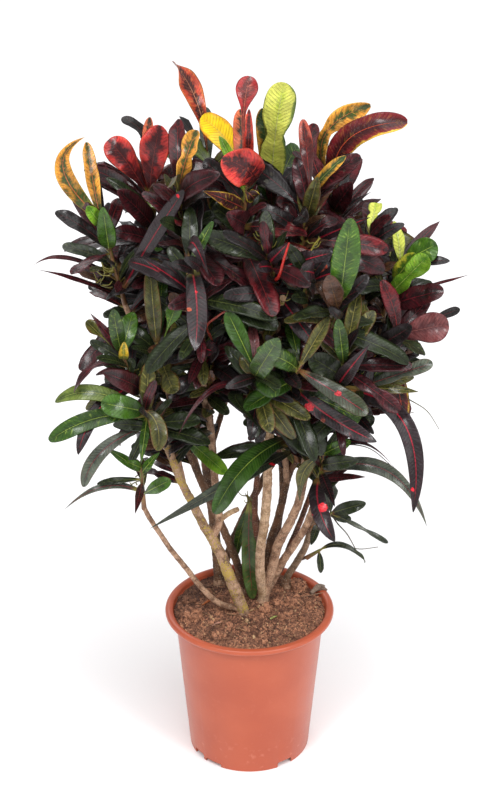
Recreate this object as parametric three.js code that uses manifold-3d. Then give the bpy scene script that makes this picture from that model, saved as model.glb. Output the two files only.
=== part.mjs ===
// A potted croton: a moulded nursery pot, its filling of soil, the woody stems that stand in it,
// and the leafy shoots that the stems carry. Millimetres, +Z up, origin under the middle of the pot.

import * as THREE from "three";
import { mergeVertices } from "three/addons/utils/BufferGeometryUtils.js";
import Module from "manifold-3d";

const wasm = await Module();
wasm.setup();

// ---- driving sizes ----

const GAP = 0.35; // clearance between two pieces that touch

const POT = {
  high: 226, // foot to lip
  lip: 120, // outer radius of the rounded lip
  mouth: 108.5, // inner radius of the lip
  lipDeep: 9, // height of the lip
  shoulder: 105.5, // outer wall radius under the lip
  foot: 86.5, // outer wall radius at the foot
  wall: 2.4,
  floor: 4,
  pad: 66, // radius of the middle of the underside, which rests on the ground
  channel: 9, // height of the drain channel round the pad
  facets: 32,
};

// Drain notches in the foot ring: bearing from the front, width in degrees, height.
const NOTCHES = [
  { bearing: 36, width: 16, high: 9 },
  { bearing: -37, width: 18, high: 6 },
  { bearing: -56, width: 14, high: 9 },
  { bearing: 108, width: 16, high: 9 },
  { bearing: 180, width: 16, high: 9 },
  { bearing: -124, width: 16, high: 9 },
];

const SOIL = { edge: 218.5, middle: 222, slope: 85 }; // height at the wall, in the middle, its radius

// The stump from which stems rise: depth below the soil, height above it, radii and sides.
const STOCK = { below: 62, above: 12, radius: 13, neck: 7, sides: 8 };

const STEM = { sides: 5, fewSides: 4, thin: 6 }; // sides of a stem, and of one up to "thin" mm radius

// A leafy shoot's stem: radii and sides, the longest and the least step in which its start is moved off
// the branch's end, and how far inside it the lowest leaf may root.
const SHOOT = { root: 4.4, tip: 2.6, sides: 3, reach: 14, close: 0.02, sunk: 1.5 };

const BLADE = {
  thick: 1.5, // along the midrib
  fold: 0.14, // how far the edges rise, as a share of the half width
  wave: 0.16, // how far they wave
  waves: 1.7, // waves along one blade
  lag: 0.35, // by how much one edge's wave trails the other's
  clear: 0.5, // air round a blade
  wide: 24, // width from which a blade has more facets
  inset: 0.2, // where the stretch begins that keeps clear of its own shoot's blades
};

const GOLDEN = 137.5; // degrees from one leaf to the next up a shoot
const SEED = 1947;

// Outlines of a blade: where it is widest, its share of the width at the foot, how it swells up to
// the widest place, how round it falls to the tip, a waist, and where a wide one and a narrow one are
// cut into facets.
const KINDS = {
  spoon: { widest: 0.72, foot: 0.12, swell: 2.2, fall: [2.2, 0.5], cuts: [0.4, 0.7, 0.92], few: [0.55, 0.88] },
  club: { widest: 0.86, foot: 0.12, swell: 9, fall: [2, 0.5], cuts: [0.55, 0.74, 0.88], few: [0.62, 0.88] },
  canoe: { widest: 0.8, foot: 0.12, swell: 5, fall: [1.6, 0.8], cuts: [0.5, 0.66, 0.8, 0.93], few: [0.6, 0.85] },
  oval: { widest: 0.52, foot: 0.12, swell: 1, fall: [2, 0.7], cuts: [0.3, 0.56, 0.85], few: [0.4, 0.8] },
  blunt: { widest: 0.62, foot: 0.14, swell: 0.9, fall: [3, 0.5], cuts: [0.3, 0.6, 0.92], few: [0.4, 0.86] },
  strap: { widest: 0.45, foot: 0.15, swell: 0.8, fall: [1.8, 1], cuts: [0.25, 0.48, 0.76], few: [0.35, 0.7] },
  ribbon: { widest: 0.4, foot: 0.3, swell: 0.8, fall: [1.5, 1], cuts: [0.25, 0.5, 0.78], few: [0.3, 0.7] },
  tail: { widest: 0.36, foot: 0.3, swell: 1, fall: [0.8, 1.6], cuts: [0.18, 0.38, 0.62], few: [0.36, 0.62] },
  waist: {
    widest: 0.82, foot: 0.14, swell: 0.5, fall: [2.4, 0.5], waist: [0.58, 0.1, 0.45],
    cuts: [0.32, 0.58, 0.82, 0.95], few: [0.32, 0.58, 0.86],
  },
};

// ---- the photograph's view, by which places in it become places in space ----

const VIEW = { eye: [-3.5, -2187, 1587], pitch: 25.4, focal: 1800, centre: [247, 400] };

const radians = THREE.MathUtils.degToRad;
const vector = (x, y, z) => new THREE.Vector3(x, y, z);
const UP = vector(0, 0, 1);
const EYE = vector(...VIEW.eye);
const AHEAD = vector(0, Math.cos(radians(VIEW.pitch)), -Math.sin(radians(VIEW.pitch)));
const ABOVE = vector(0, Math.sin(radians(VIEW.pitch)), Math.cos(radians(VIEW.pitch)));

// The point that shows at pixel (px, py) and lies "deep" mm behind the pot's axis.
function seen([px, py], deep) {
  const ray = AHEAD.clone().multiplyScalar(VIEW.focal);
  ray.x += px - VIEW.centre[0];
  ray.addScaledVector(ABOVE, VIEW.centre[1] - py);
  return ray.multiplyScalar((deep - EYE.y) / ray.y).add(EYE);
}

// The pixel at which a point shows, with its distance.
function shown(point) {
  const ray = point.clone().sub(EYE);
  const away = ray.dot(AHEAD);
  const scale = VIEW.focal / away;
  return { x: VIEW.centre[0] + ray.x * scale, y: VIEW.centre[1] - ray.dot(ABOVE) * scale, away, scale };
}

// ---- woody stems ----

// The middle of each stump, in millimetres from the pot's axis.
const STOCKS = {
  stems_left: [-9, -13],
  stem_back_left: [-2, 45],
  stems_centre: [20, 18],
  stem_right: [54, 60],
  stems_back: [-44, 66],
};

// Each branch runs along [px, py, deep], with its radius at both ends. A rooted one starts in its stump.
const BRANCHES = [
  // the thin stem that leans far left
  { node: "stems_left", wide: [4.2, 3.2], rooted: true,
    route: [[219, 603, -20], [201, 587, -28], [186, 568, -36], [172, 551, -43], [161, 535, -50],
      [149, 517, -57], [144, 507, -61]] },
  // the lichened main stem and its limbs
  { node: "stems_left", wide: [8.6, 6.4], rooted: true,
    route: [[231, 580, -17], [222, 557, -20], [212, 538, -24], [204, 526, -27]] },
  { node: "stems_left", wide: [6.4, 4.4],
    route: [[205, 528, -27], [194, 506, -31], [181, 481, -38], [168, 449, -46], [161, 441, -49]] },
  { node: "stems_left", wide: [4.2, 3.6], route: [[166, 447, -47], [154, 420, -46], [144, 399, -45]] },
  { node: "stems_left", wide: [4.8, 4],
    route: [[183, 484, -37], [176, 450, -24], [172, 415, -20], [168, 387, -20]] },
  { node: "stems_left", wide: [4.4, 3.8],
    route: [[175, 446, -23], [158, 400, 0], [141, 345, 0], [125, 304, -9]] },
  // the fork with the cut stub, and what rises from it
  { node: "stems_left", wide: [5.8, 4.6],
    route: [[212, 538, -24], [219, 519, -20], [215, 480, -12], [211, 430, -7], [207, 403, -6]] },
  { node: "stems_left", wide: [4, 3.4], route: [[219, 521, -20], [228, 514, -24], [238, 509, -28]] },
  { node: "stems_left", wide: [4.4, 3.8],
    route: [[211, 432, -7], [204, 395, -30], [203, 355, -65], [202, 331, -88]] },
  { node: "stems_left", wide: [4.2, 3.6],
    route: [[204, 397, -29], [196, 345, -20], [190, 300, -35], [188, 263, -54]] },

  { node: "stem_back_left", wide: [6.2, 5], rooted: true,
    route: [[241, 577, 45], [236, 560, 45], [222, 526, 43], [204, 488, 41], [186, 444, 38]] },
  { node: "stem_back_left", wide: [4.4, 3.8],
    route: [[200, 478, 41], [184, 420, 60], [172, 350, 45], [164, 300, 28], [158, 265, 21]] },
  { node: "stem_back_left", wide: [4.2, 3.6],
    route: [[182, 412, 60], [196, 350, 66], [205, 295, 48], [208, 251, 31]] },

  // the light middle stem, cut off at the top with a twig on each side
  { node: "stems_centre", wide: [7, 6], rooted: true,
    route: [[260, 570, 8], [261, 545, 0], [264, 526, -6], [267, 494, -16], [268, 464, -24],
      [270, 420, -34]] },
  { node: "stems_centre", wide: [3.8, 3.2], route: [[269, 428, -32], [263, 415, -40], [258, 403, -45]] },
  { node: "stems_centre", wide: [3.8, 3.2], route: [[270, 430, -32], [275, 416, -46], [280, 401, -59]] },
  // the upright stem behind it and what it carries
  { node: "stems_centre", wide: [6.6, 5], rooted: true,
    route: [[266, 589, 24], [268, 558, 28], [272, 536, 31], [278, 519, 33], [286, 484, 35],
      [290, 471, 36]] },
  { node: "stems_centre", wide: [3, 2.6], route: [[267, 556, 28], [260, 528, 40], [253, 505, 42]] },
  { node: "stems_centre", wide: [4, 3.6], route: [[289, 474, 36], [293, 467, 30], [297, 460, 23]] },
  { node: "stems_centre", wide: [4.8, 3.8],
    route: [[287, 482, 35], [284, 440, 22], [283, 390, -5], [279, 340, -40], [276, 303, -69]] },
  { node: "stems_centre", wide: [4.4, 3.8],
    route: [[284, 442, 23], [262, 390, 30], [262, 330, 28], [270, 263, 21]] },
  { node: "stems_centre", wide: [4, 3.4], route: [[280, 345, -37], [262, 300, -50], [240, 263, -60]] },
  // the stem that leans right, and its limbs
  { node: "stems_centre", wide: [7.2, 5.6], rooted: true,
    route: [[271, 572, 16], [278, 545, 8], [290, 522, 0], [299, 501, -8], [304, 475, -16]] },
  { node: "stems_centre", wide: [5, 3.8],
    route: [[303, 480, -15], [309, 430, -22], [318, 380, -60], [326, 345, -84]] },
  { node: "stems_centre", wide: [4, 3.4], route: [[317, 384, -57], [311, 350, -70], [306, 319, -79]] },
  { node: "stems_centre", wide: [4.4, 3.6],
    route: [[308, 434, -21], [306, 380, -20], [302, 320, -38], [300, 269, -49]] },
  { node: "stems_centre", wide: [6, 4.6], rooted: true,
    route: [[281, 564, 22], [294, 545, 2], [306, 526, -12], [316, 499, -24]] },
  { node: "stems_centre", wide: [3.2, 2.8], route: [[300, 536, -5], [307, 531, -10], [314, 527, -14]] },

  { node: "stem_right", wide: [5.2, 4.6], rooted: true,
    route: [[287, 577, 62], [296, 563, 61], [306, 545, 60], [317, 510, 55], [330, 465, 45]] },
  { node: "stem_right", wide: [2.6, 2], route: [[298, 560, 61], [304, 558, 61], [308, 557, 60]] },
  { node: "stem_right", wide: [4.4, 3.6], route: [[330, 467, 45], [338, 430, -10], [346, 403, -44]] },
  { node: "stem_right", wide: [3.6, 3], route: [[339, 422, -21], [334, 404, -48], [338, 392, -69]] },
  { node: "stem_right", wide: [4.6, 3.8],
    route: [[329, 468, 46], [350, 415, 30], [364, 375, 0], [372, 351, -29]] },
  { node: "stem_right", wide: [4.4, 3.6],
    route: [[351, 413, 29], [364, 370, 40], [378, 338, 10], [384, 313, -9]] },
  { node: "stem_right", wide: [4.2, 3.6],
    route: [[362, 376, 38], [352, 340, 42], [336, 300, 38], [326, 263, 31]] },
  { node: "stem_right", wide: [4, 3.4], route: [[353, 343, 41], [362, 320, 10], [362, 297, -19]] },
];

// The far side's branches, which the photograph doesn't show, run along points in millimetres.
const FAR_BRANCHES = [
  { node: "stems_back", wide: [7.6, 6], rooted: true,
    route: [[-50, 82, 300], [-60, 98, 380], [-70, 112, 460]] },
  { node: "stems_back", wide: [5, 3.8], route: [[-69, 110, 455], [-105, 125, 530], [-140, 130, 610]] },
  { node: "stems_back", wide: [5, 3.8], route: [[-69, 110, 455], [-78, 140, 560], [-85, 125, 690]] },
  { node: "stems_back", wide: [4.6, 3.8], route: [[-62, 102, 400], [-30, 150, 490], [5, 165, 590]] },
  { node: "stems_back", wide: [4.4, 3.6], route: [[-28, 152, 496], [-14, 125, 600], [8, 105, 700]] },
  { node: "stems_back", wide: [6, 4.6], rooted: true,
    route: [[-20, 90, 290], [22, 118, 370], [70, 132, 450]] },
  { node: "stems_back", wide: [4.6, 3.6], route: [[68, 131, 446], [115, 132, 520], [155, 120, 600]] },
  { node: "stems_back", wide: [4.6, 3.6], route: [[68, 131, 446], [88, 134, 560], [100, 115, 690]] },
  { node: "stems_back", wide: [4.2, 3.6], route: [[48, 126, 414], [70, 170, 470], [82, 192, 540]] },
  { node: "stems_back", wide: [4.2, 3.6], route: [[-75, 116, 475], [-82, 165, 520], [-90, 187, 580]] },
];

// ---- leafy shoots ----

// Foot and tip are [px, py, deep]. The rule adds "leaves" blades of about "long" by "wide" mm.
const SHOOTS = {
  crown_west: {
    foot: [124, 303, -10], tip: [99, 214, -25], leaves: 7, long: 90, wide: 15, tint: "crown",
  },
  crown_northwest: {
    foot: [158, 264, 20], tip: [150, 192, 25], leaves: 12, long: 105, wide: 24, tint: "crown",
  },
  crown_north_front: {
    foot: [188, 262, -55], tip: [178, 192, -75], leaves: 12, long: 100, wide: 22, tint: "crown",
  },
  crown_north_back: {
    foot: [208, 250, 30], tip: [207, 172, 45], leaves: 12, long: 105, wide: 22, tint: "lime",
  },
  crown_centre_front: {
    foot: [240, 262, -60], tip: [246, 186, -80], leaves: 12, long: 100, wide: 24, tint: "coral",
  },
  crown_centre_back: {
    foot: [270, 262, 20], tip: [272, 190, 40], leaves: 12, long: 105, wide: 24, tint: "lime",
  },
  crown_northeast_front: {
    foot: [300, 268, -50], tip: [310, 196, -70], leaves: 12, long: 100, wide: 22, tint: "crown",
  },
  crown_northeast_back: {
    foot: [326, 262, 30], tip: [337, 192, 40], leaves: 12, long: 105, wide: 24, tint: "crown",
  },
  crown_east: {
    foot: [362, 296, -20], tip: [371, 228, -35], leaves: 12, long: 95, wide: 20, tint: "crown",
  },
  east_high: {
    foot: [384, 312, -10], tip: [400, 262, -25], leaves: 9, long: 90, wide: 21, tint: "green",
  },
  east_middle: {
    foot: [372, 350, -30], tip: [402, 330, -55], leaves: 11, long: 100, wide: 21, tint: "coral",
  },
  east_low: {
    foot: [347, 402, -46], tip: [368, 384, -85], leaves: 9, long: 95, wide: 18, tint: "maroon",
  },
  right_middle: {
    foot: [338, 391, -71], tip: [347, 346, -122], leaves: 9, long: 90, wide: 18, tint: "green",
  },
  right_front: {
    foot: [326, 344, -85], tip: [340, 300, -115], leaves: 12, long: 95, wide: 21, tint: "dark_green",
  },
  right_low_front: {
    foot: [280, 400, -60], tip: [300, 366, -130], leaves: 11, long: 95, wide: 21, tint: "green",
  },
  right_high: {
    foot: [306, 318, -80], tip: [305, 274, -125], leaves: 12, long: 95, wide: 20, tint: "maroon",
  },
  low_right: {
    foot: [316, 498, -25], tip: [323, 452, -60], leaves: 7, long: 80, wide: 16, tint: "maroon",
  },
  low_right_outer: {
    foot: [315, 526, -15], tip: [333, 512, -28], leaves: 3, long: 50, wide: 12, tint: "dark_green",
  },
  low_right_twig: {
    foot: [309, 557, 60], tip: [320, 550, 57], leaves: 3, long: 30, wide: 8, tint: "dark_green",
  },
  left_middle: {
    foot: [143, 398, -45], tip: [122, 354, -85], leaves: 9, long: 80, wide: 17, tint: "green",
  },
  left_low: {
    foot: [159, 438, -54], tip: [144, 410, -95], leaves: 6, long: 85, wide: 19, tint: "dark_green",
  },
  low_left: {
    foot: [144, 506, -62], tip: [141, 468, -75], leaves: 4, long: 50, wide: 11, tint: "green",
  },
  left_front: {
    foot: [202, 330, -90], tip: [190, 262, -125], leaves: 12, long: 100, wide: 20, tint: "maroon",
  },
  left_inner: {
    foot: [168, 386, -20], tip: [157, 345, -60], leaves: 11, long: 90, wide: 19, tint: "green",
  },
  left_shade: {
    foot: [186, 443, 38], tip: [192, 396, 30], leaves: 9, long: 92, wide: 18, tint: "maroon",
  },
  middle_shade: {
    foot: [207, 402, -6], tip: [214, 352, -60], leaves: 12, long: 95, wide: 19, tint: "maroon",
  },
  centre_high: {
    foot: [276, 302, -70], tip: [268, 252, -125], leaves: 12, long: 98, wide: 20, tint: "maroon",
  },
  centre_front: {
    foot: [258, 402, -45], tip: [256, 372, -140], leaves: 12, long: 88, wide: 20, tint: "green",
  },
  centre_low: {
    foot: [298, 459, 22], tip: [291, 434, -12], leaves: 7, long: 85, wide: 18, tint: "dark_green",
  },
  low_centre: {
    foot: [253, 504, 42], tip: [248, 497, 36], leaves: 3, long: 28, wide: 7, tint: "dark_green",
  },
};

// The far side's shoots, in millimetres.
const FAR_SHOOTS = {
  far_left: {
    foot: [-141, 130, 611], tip: [-172, 132, 668], leaves: 10, long: 105, wide: 21, tint: "maroon",
  },
  far_left_high: {
    foot: [-85, 125, 691], tip: [-92, 112, 770], leaves: 10, long: 110, wide: 22, tint: "crown",
  },
  far_middle: {
    foot: [5, 165, 591], tip: [10, 172, 665], leaves: 10, long: 105, wide: 21, tint: "dark_green",
  },
  far_middle_high: {
    foot: [8, 105, 701], tip: [12, 92, 775], leaves: 10, long: 105, wide: 22, tint: "crown",
  },
  far_right: {
    foot: [155, 120, 601], tip: [188, 120, 655], leaves: 10, long: 105, wide: 21, tint: "green",
  },
  far_right_high: {
    foot: [100, 115, 691], tip: [108, 104, 770], leaves: 10, long: 110, wide: 22, tint: "crown",
  },
  far_low_right: {
    foot: [82, 192, 541], tip: [92, 212, 600], leaves: 9, long: 100, wide: 20, tint: "maroon",
  },
  far_low_left: {
    foot: [-90, 187, 581], tip: [-102, 208, 636], leaves: 9, long: 100, wide: 20, tint: "dark_green",
  },
};

// Leaves that stand out in the photograph, by shoot: place along the shoot, tip in pixels, how far the
// tip lies behind the shoot's, width in mm, outline, how far the upper face turns to the viewer,
// arch as a share of the length, and the pixel under the middle of a midrib that bends sideways.
const LEAVES = {
  crown_west: [
    [0.95, [85, 137], -5, 17, "tail", 0.8, 0.05, [64, 168]],
    [0.9, [86, 142], 10, 12, "blunt", 0.6, 0.05],
    [0.8, [96, 166], -5, 12, "oval", 0.5, 0.1],
    [0.6, [55, 212], 5, 19, "blunt", 0.5, 0.1],
    [0.85, [87, 206], -30, 17, "spoon", 0.9, 0.1],
    [0.6, [103, 207], -28, 23, "oval", 0.9, 0.1],
    [0.45, [62, 246], -15, 15, "blunt", 0.7, 0.1],
    [0.25, [34, 265], -5, 9, "ribbon", 0.4, 0.05, [68, 261]],
    [0.05, [39, 270], -15, 9, "ribbon", 0.4, 0.05, [80, 284]],
    [0.55, [72, 197], 0, 15, "oval", 0.4, 0.1],
    [0.12, [184, 190], -80, 21, "blunt", 0.8, 0.04],
  ],
  crown_northwest: [
    [0.9, [108, 140], -20, 34, "spoon", 0.9, 0.1, [126, 162]],
    [0.95, [121, 119], 10, 18, "blunt", 0.4, 0.05, [144, 142]],
    [1, [150, 117], 5, 9, "strap", 0.6, 0.05],
    [0.95, [160, 125], -25, 28, "spoon", 0.8, 0.12],
    [0.6, [106, 178], -15, 16, "oval", 0.6, 0.1],
    [0.5, [117, 190], -50, 28, "oval", 0.8, 0.1],
    [0.25, [112, 232], -45, 24, "oval", 0.6, 0.15],
  ],
  crown_north_front: [
    [0.95, [178, 119], 5, 17, "oval", 0.6, 0.1],
    [0.9, [170, 187], -45, 19, "spoon", 0.8, 0.1, [168, 172]],
    [1, [197, 130], 10, 26, "waist", 0.6, 0.1],
  ],
  crown_north_back: [
    [0.95, [172, 61], 0, 26, "canoe", 0.7, 0.1, [195, 112]],
    [1, [206, 107], 15, 18, "blunt", 0.6, 0.1],
  ],
  crown_centre_front: [
    [0.95, [222, 158], -25, 44, "spoon", 0.9, 0.15, [244, 166]],
    [1, [250, 76], 25, 27, "club", 0.7, 0.05, [243, 124]],
    [1, [249, 109], 20, 13, "oval", 0.8, 0.1],
    [1, [201, 117], 10, 33, "spoon", 0.95, 0.05, [230, 146]],
    [0.9, [219, 136], -5, 14, "oval", 0.8, 0.1],
    [1, [240, 109], 5, 25, "oval", 0.8, 0.1],
    [0.95, [254, 199], -50, 18, "oval", 0.9, 0.25],
    [0.5, [226, 214], -55, 30, "oval", 0.9, 0.15],
    [0.7, [203, 191], -60, 20, "strap", 0.9, 0.1],
  ],
  crown_centre_back: [
    [1, [257, 116], -20, 10, "strap", 0.6, 0.1],
    [0.95, [262, 108], -35, 21, "blunt", 0.8, 0.05],
    [0.92, [284, 82], -45, 37, "waist", 0.95, 0.06, [275, 138]],
    [0.8, [271, 180], -60, 14, "spoon", 0.7, 0.1],
  ],
  crown_northeast_front: [
    [1, [303, 119], 20, 10, "strap", 0.6, 0.05],
    [1, [346, 156], 0, 16, "oval", 0.7, 0.1],
    [0.7, [318, 177], -35, 20, "oval", 0.9, 0.1],
    [0.8, [296, 157], -10, 24, "oval", 0.7, 0.1],
    [0.3, [371, 217], -60, 14, "strap", 0.8, 0.05],
  ],
  crown_northeast_back: [
    [0.95, [314, 123], -25, 20, "waist", 0.7, 0.1, [309, 160]],
    [1, [371, 105], 0, 26, "waist", 0.8, 0.05, [325, 138]],
    [0.9, [408, 122], -15, 34, "blunt", 0.8, 0.1, [352, 140]],
    [0.7, [353, 183], -50, 27, "oval", 0.8, 0.1],
    [0.55, [374, 178], -10, 13, "oval", 0.5, 0.1],
    [0.45, [371, 192], -20, 12, "strap", 0.5, 0.1],
  ],
  crown_east: [
    [0.9, [368, 203], 0, 20, "oval", 0.6, 0.1],
    [0.95, [376, 203], -25, 18, "waist", 0.9, 0.05],
    [0.85, [391, 216], -15, 17, "oval", 0.6, 0.1],
  ],
  east_high: [
    [1, [394, 221], 10, 16, "oval", 0.7, 0.15],
    [1, [440, 221], 15, 16, "strap", 0.6, 0.05],
    [0.95, [437, 244], -15, 33, "spoon", 0.9, 0.1],
    [0.6, [415, 253], -50, 18, "oval", 0.9, 0.05],
    [0.35, [428, 256], -35, 27, "waist", 0.95, 0.05],
    [0.8, [450, 261], 15, 15, "oval", 0.4, 0.1],
    [0.3, [468, 275], -5, 6, "ribbon", 0.3, 0.05, [440, 286]],
    [0.1, [444, 290], -45, 29, "blunt", 0.9, 0.12],
  ],
  east_middle: [
    [0.9, [460, 309], 0, 12, "waist", 0.6, 0.05],
    [0.75, [449, 324], -40, 39, "spoon", 0.95, 0.12],
    [0.1, [412, 326], -50, 23, "blunt", 0.9, 0.12],
  ],
  east_low: [
    [0.95, [433, 363], -20, 19, "waist", 0.9, 0.08],
    [0.8, [419, 392], -15, 14, "strap", 0.7, 0.1],
    [0.7, [414, 377], -10, 16, "oval", 0.7, 0.1],
    [0.9, [394, 350], -35, 17, "blunt", 0.95, 0.1],
  ],
  right_middle: [
    [0.9, [358, 292], -10, 19, "strap", 0.95, 0.08],
    [0.6, [338, 319], -25, 18, "strap", 0.95, 0.08],
    [0.15, [370, 344], -45, 22, "strap", 0.9, 0.12],
    [0.35, [309, 356], -45, 37, "oval", 0.95, 0.15],
    [0.05, [413, 513], -60, 20, "strap", 0.95, 0.05, [404, 424]],
  ],
  right_front: [
    [0.95, [350, 218], -35, 34, "strap", 0.95, 0.1],
    [0.8, [328, 275], -35, 25, "spoon", 0.9, 0.1],
  ],
  right_low_front: [
    [1, [329, 317], -10, 21, "strap", 0.9, 0.08],
    [0.9, [368, 414], -35, 24, "blunt", 0.95, 0.1, [336, 393]],
    [0.5, [377, 442], -35, 22, "strap", 0.95, 0.08, [330, 417]],
    [1, [290, 322], -15, 19, "oval", 0.9, 0.1],
  ],
  low_right: [
    [0.6, [427, 527], -30, 15, "ribbon", 0.7, 0.05, [386, 472]],
    [0.95, [351, 441], -20, 17, "oval", 0.9, 0.1],
    [0.7, [359, 460], -30, 20, "oval", 0.9, 0.12],
    [0.9, [398, 473], -5, 10, "tail", 0.6, 0.05, [362, 444]],
    [0.4, [366, 477], -20, 12, "strap", 0.7, 0.08],
    [0.45, [335, 542], -40, 20, "strap", 0.9, 0.05, [319, 508]],
    [0.6, [335, 507], -55, 14, "strap", 0.9, 0.05],
    [0.9, [300, 502], -50, 19, "strap", 0.9, 0.05, [305, 470]],
  ],
  low_right_outer: [
    [0.9, [366, 503], -20, 18, "oval", 0.9, 0.1],
    [0.9, [388, 543], -10, 8, "waist", 0.6, 0.05],
    [0.8, [351, 520], -20, 13, "oval", 0.8, 0.1],
    [0.1, [311, 545], -15, 11, "oval", 0.8, 0.1],
  ],
  low_right_twig: [
    [1, [366, 562], -15, 9, "strap", 0.7, 0.05, [343, 546]],
    [0.9, [321, 573], -10, 10, "oval", 0.9, 0.05],
  ],
  left_middle: [
    [0.95, [90, 313], 10, 12, "strap", 0.6, 0.1],
    [0.9, [86, 321], -10, 17, "club", 0.9, 0.05],
    [1, [113, 309], 0, 19, "blunt", 0.9, 0.08],
    [1, [133, 312], -25, 23, "oval", 0.9, 0.1],
    [0.85, [90, 341], -15, 13, "blunt", 0.8, 0.1],
    [0.9, [124, 342], -45, 13, "oval", 0.9, 0.1],
    [0.7, [74, 393], -25, 11, "waist", 0.5, 0.05, [97, 366]],
    [0.15, [103, 372], -35, 27, "oval", 0.8, 0.12],
    [0.3, [78, 455], -50, 15, "strap", 0.9, 0.05, [98, 411]],
  ],
  left_low: [
    [0.9, [55, 402], 15, 21, "oval", 0.8, 0.1, [96, 394]],
    [0.95, [101, 403], -35, 31, "blunt", 0.95, 0.12],
    [0.8, [49, 441], -15, 24, "blunt", 0.9, 0.1, [96, 419]],
    [0.5, [84, 487], -25, 19, "blunt", 0.8, 0.1, [104, 451]],
    [1, [158, 451], -30, 23, "strap", 0.9, 0.05, [157, 425]],
    [0.8, [141, 464], -50, 12, "strap", 0.9, 0.05],
    [0.6, [130, 463], -25, 12, "blunt", 0.8, 0.05],
  ],
  low_left: [
    [0.9, [106, 448], -10, 13, "strap", 0.8, 0.08],
    [1, [124, 461], -25, 14, "strap", 0.9, 0.08],
    [0.85, [160, 452], -10, 13, "strap", 0.8, 0.08],
    [1, [146, 461], -20, 12, "oval", 0.9, 0.08],
    [0.35, [64, 510], -5, 10, "ribbon", 0.6, 0.05, [104, 488]],
    [0.3, [171, 480], -30, 20, "spoon", 0.9, 0.08],
    [0.6, [135, 514], -30, 11, "strap", 0.8, 0.05],
    [0.7, [97, 484], -10, 10, "blunt", 0.6, 0.08],
  ],
  left_front: [
    [0.5, [143, 259], -20, 14, "strap", 0.8, 0.1],
    [0.95, [195, 351], -60, 26, "strap", 0.95, 0.05, [197, 308]],
    [1, [209, 276], -35, 18, "strap", 0.8, 0.05, [194, 244]],
    [1, [190, 207], 10, 21, "oval", 0.9, 0.1],
    [0.95, [213, 221], 5, 13, "oval", 0.9, 0.1],
  ],
  left_inner: [
    [0.9, [165, 318], -25, 23, "oval", 0.8, 0.12],
    [0.8, [178, 300], -35, 20, "club", 0.95, 0.08],
    [1, [150, 266], 0, 22, "oval", 0.8, 0.1],
    [1, [163, 276], 10, 18, "blunt", 0.9, 0.1],
  ],
  centre_high: [
    [0.8, [289, 242], -35, 16, "strap", 0.95, 0.1],
    [0.2, [243, 309], -45, 12, "oval", 0.7, 0.1],
  ],
  centre_front: [
    [1, [227, 311], 0, 21, "oval", 0.9, 0.1],
    [1, [247, 316], -10, 19, "oval", 0.9, 0.1],
    [0.9, [279, 338], -45, 27, "blunt", 0.95, 0.1],
    [0.85, [241, 355], -40, 18, "oval", 0.95, 0.08],
    [1, [252, 321], 10, 14, "oval", 0.8, 0.1],
    [0.7, [225, 346], -35, 19, "oval", 0.8, 0.12],
    [0.3, [178, 436], -25, 9, "ribbon", 0.5, 0.03, [214, 389]],
    [0.12, [261, 429], -5, 20, "strap", 0.8, 0.12, [236, 404]],
  ],
  middle_shade: [
    [0.1, [229, 414], -20, 16, "blunt", 0.9, 0.1],
  ],
  centre_low: [
    [0.9, [214, 514], -85, 31, "blunt", 0.95, 0.08, [242, 470]],
    [0.35, [149, 529], -80, 20, "strap", 0.9, 0.3, [234, 484]],
    [0.6, [217, 456], -40, 18, "blunt", 0.8, 0.1],
  ],
  left_shade: [
    [0.05, [227, 474], -60, 14, "strap", 0.9, 0.06],
  ],
  low_centre: [
    [0.6, [253, 599], -20, 14, "blunt", 0.95, 0.02, [249, 548]],
    [0.3, [236, 556], 0, 14, "oval", 0.7, 0.08],
  ],
};

// What the rule's leaves stay inside, and the gap between the stems that they leave open, in pixels.
const CANOPY = [
  [95, 150], [125, 122], [165, 112], [205, 108], [250, 100], [300, 100], [345, 125], [372, 160],
  [385, 195], [425, 225], [440, 260], [445, 300], [430, 345], [425, 400], [400, 440], [350, 470],
  [330, 500], [312, 470], [285, 445], [240, 445], [165, 445], [150, 470], [110, 480], [75, 450],
  [60, 410], [85, 360], [80, 320], [60, 270], [65, 220], [75, 180],
];
const WINDOW = [[215, 402], [232, 397], [243, 410], [243, 447], [215, 447]];

// Sideways turns, in degrees, and shifts of depth, in mm, that are tried until a leaf is clear.
const TURNS = Array.from({ length: 25 }, (_, i) => (i % 2 ? 7.5 : -7.5) * (i + (i % 2)));
const SHIFTS = [0, -12, 12, -25, 25, -40, 40, -60, 60];

// Facets that a leaf may add to its shoot: for its stalk and tip, and for each place where it is cut.
const FACETS = { stalk: 16, band: 8 };

// ---- solids ----

function solid(vertices, triangles) {
  const made = new wasm.Manifold(
    new wasm.Mesh({
      numProp: 3,
      vertProperties: new Float32Array(vertices.flatMap((v) => [v.x, v.y, v.z])),
      triVerts: new Uint32Array(triangles.flat()),
    }),
  );
  return made;
}

function solidOf(geometry) {
  geometry.deleteAttribute("normal");
  geometry.deleteAttribute("uv");
  const merged = mergeVertices(geometry, 1e-4);
  return new wasm.Manifold(
    new wasm.Mesh({
      numProp: 3,
      vertProperties: merged.attributes.position.array,
      triVerts: new Uint32Array(merged.index.array),
    }),
  );
}

function geometryOf(made) {
  const mesh = made.getMesh();
  return new THREE.BufferGeometry()
    .setAttribute("position", new THREE.BufferAttribute(mesh.vertProperties, 3))
    .setIndex(new THREE.BufferAttribute(mesh.triVerts, 1))
    .toNonIndexed();
}

// A turned solid from a closed profile of [radius, height].
function turned(profile, facets) {
  const points = profile.map(([r, z]) => new THREE.Vector2(r, z));
  return solidOf(new THREE.LatheGeometry(points, facets).rotateX(Math.PI / 2));
}

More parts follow.
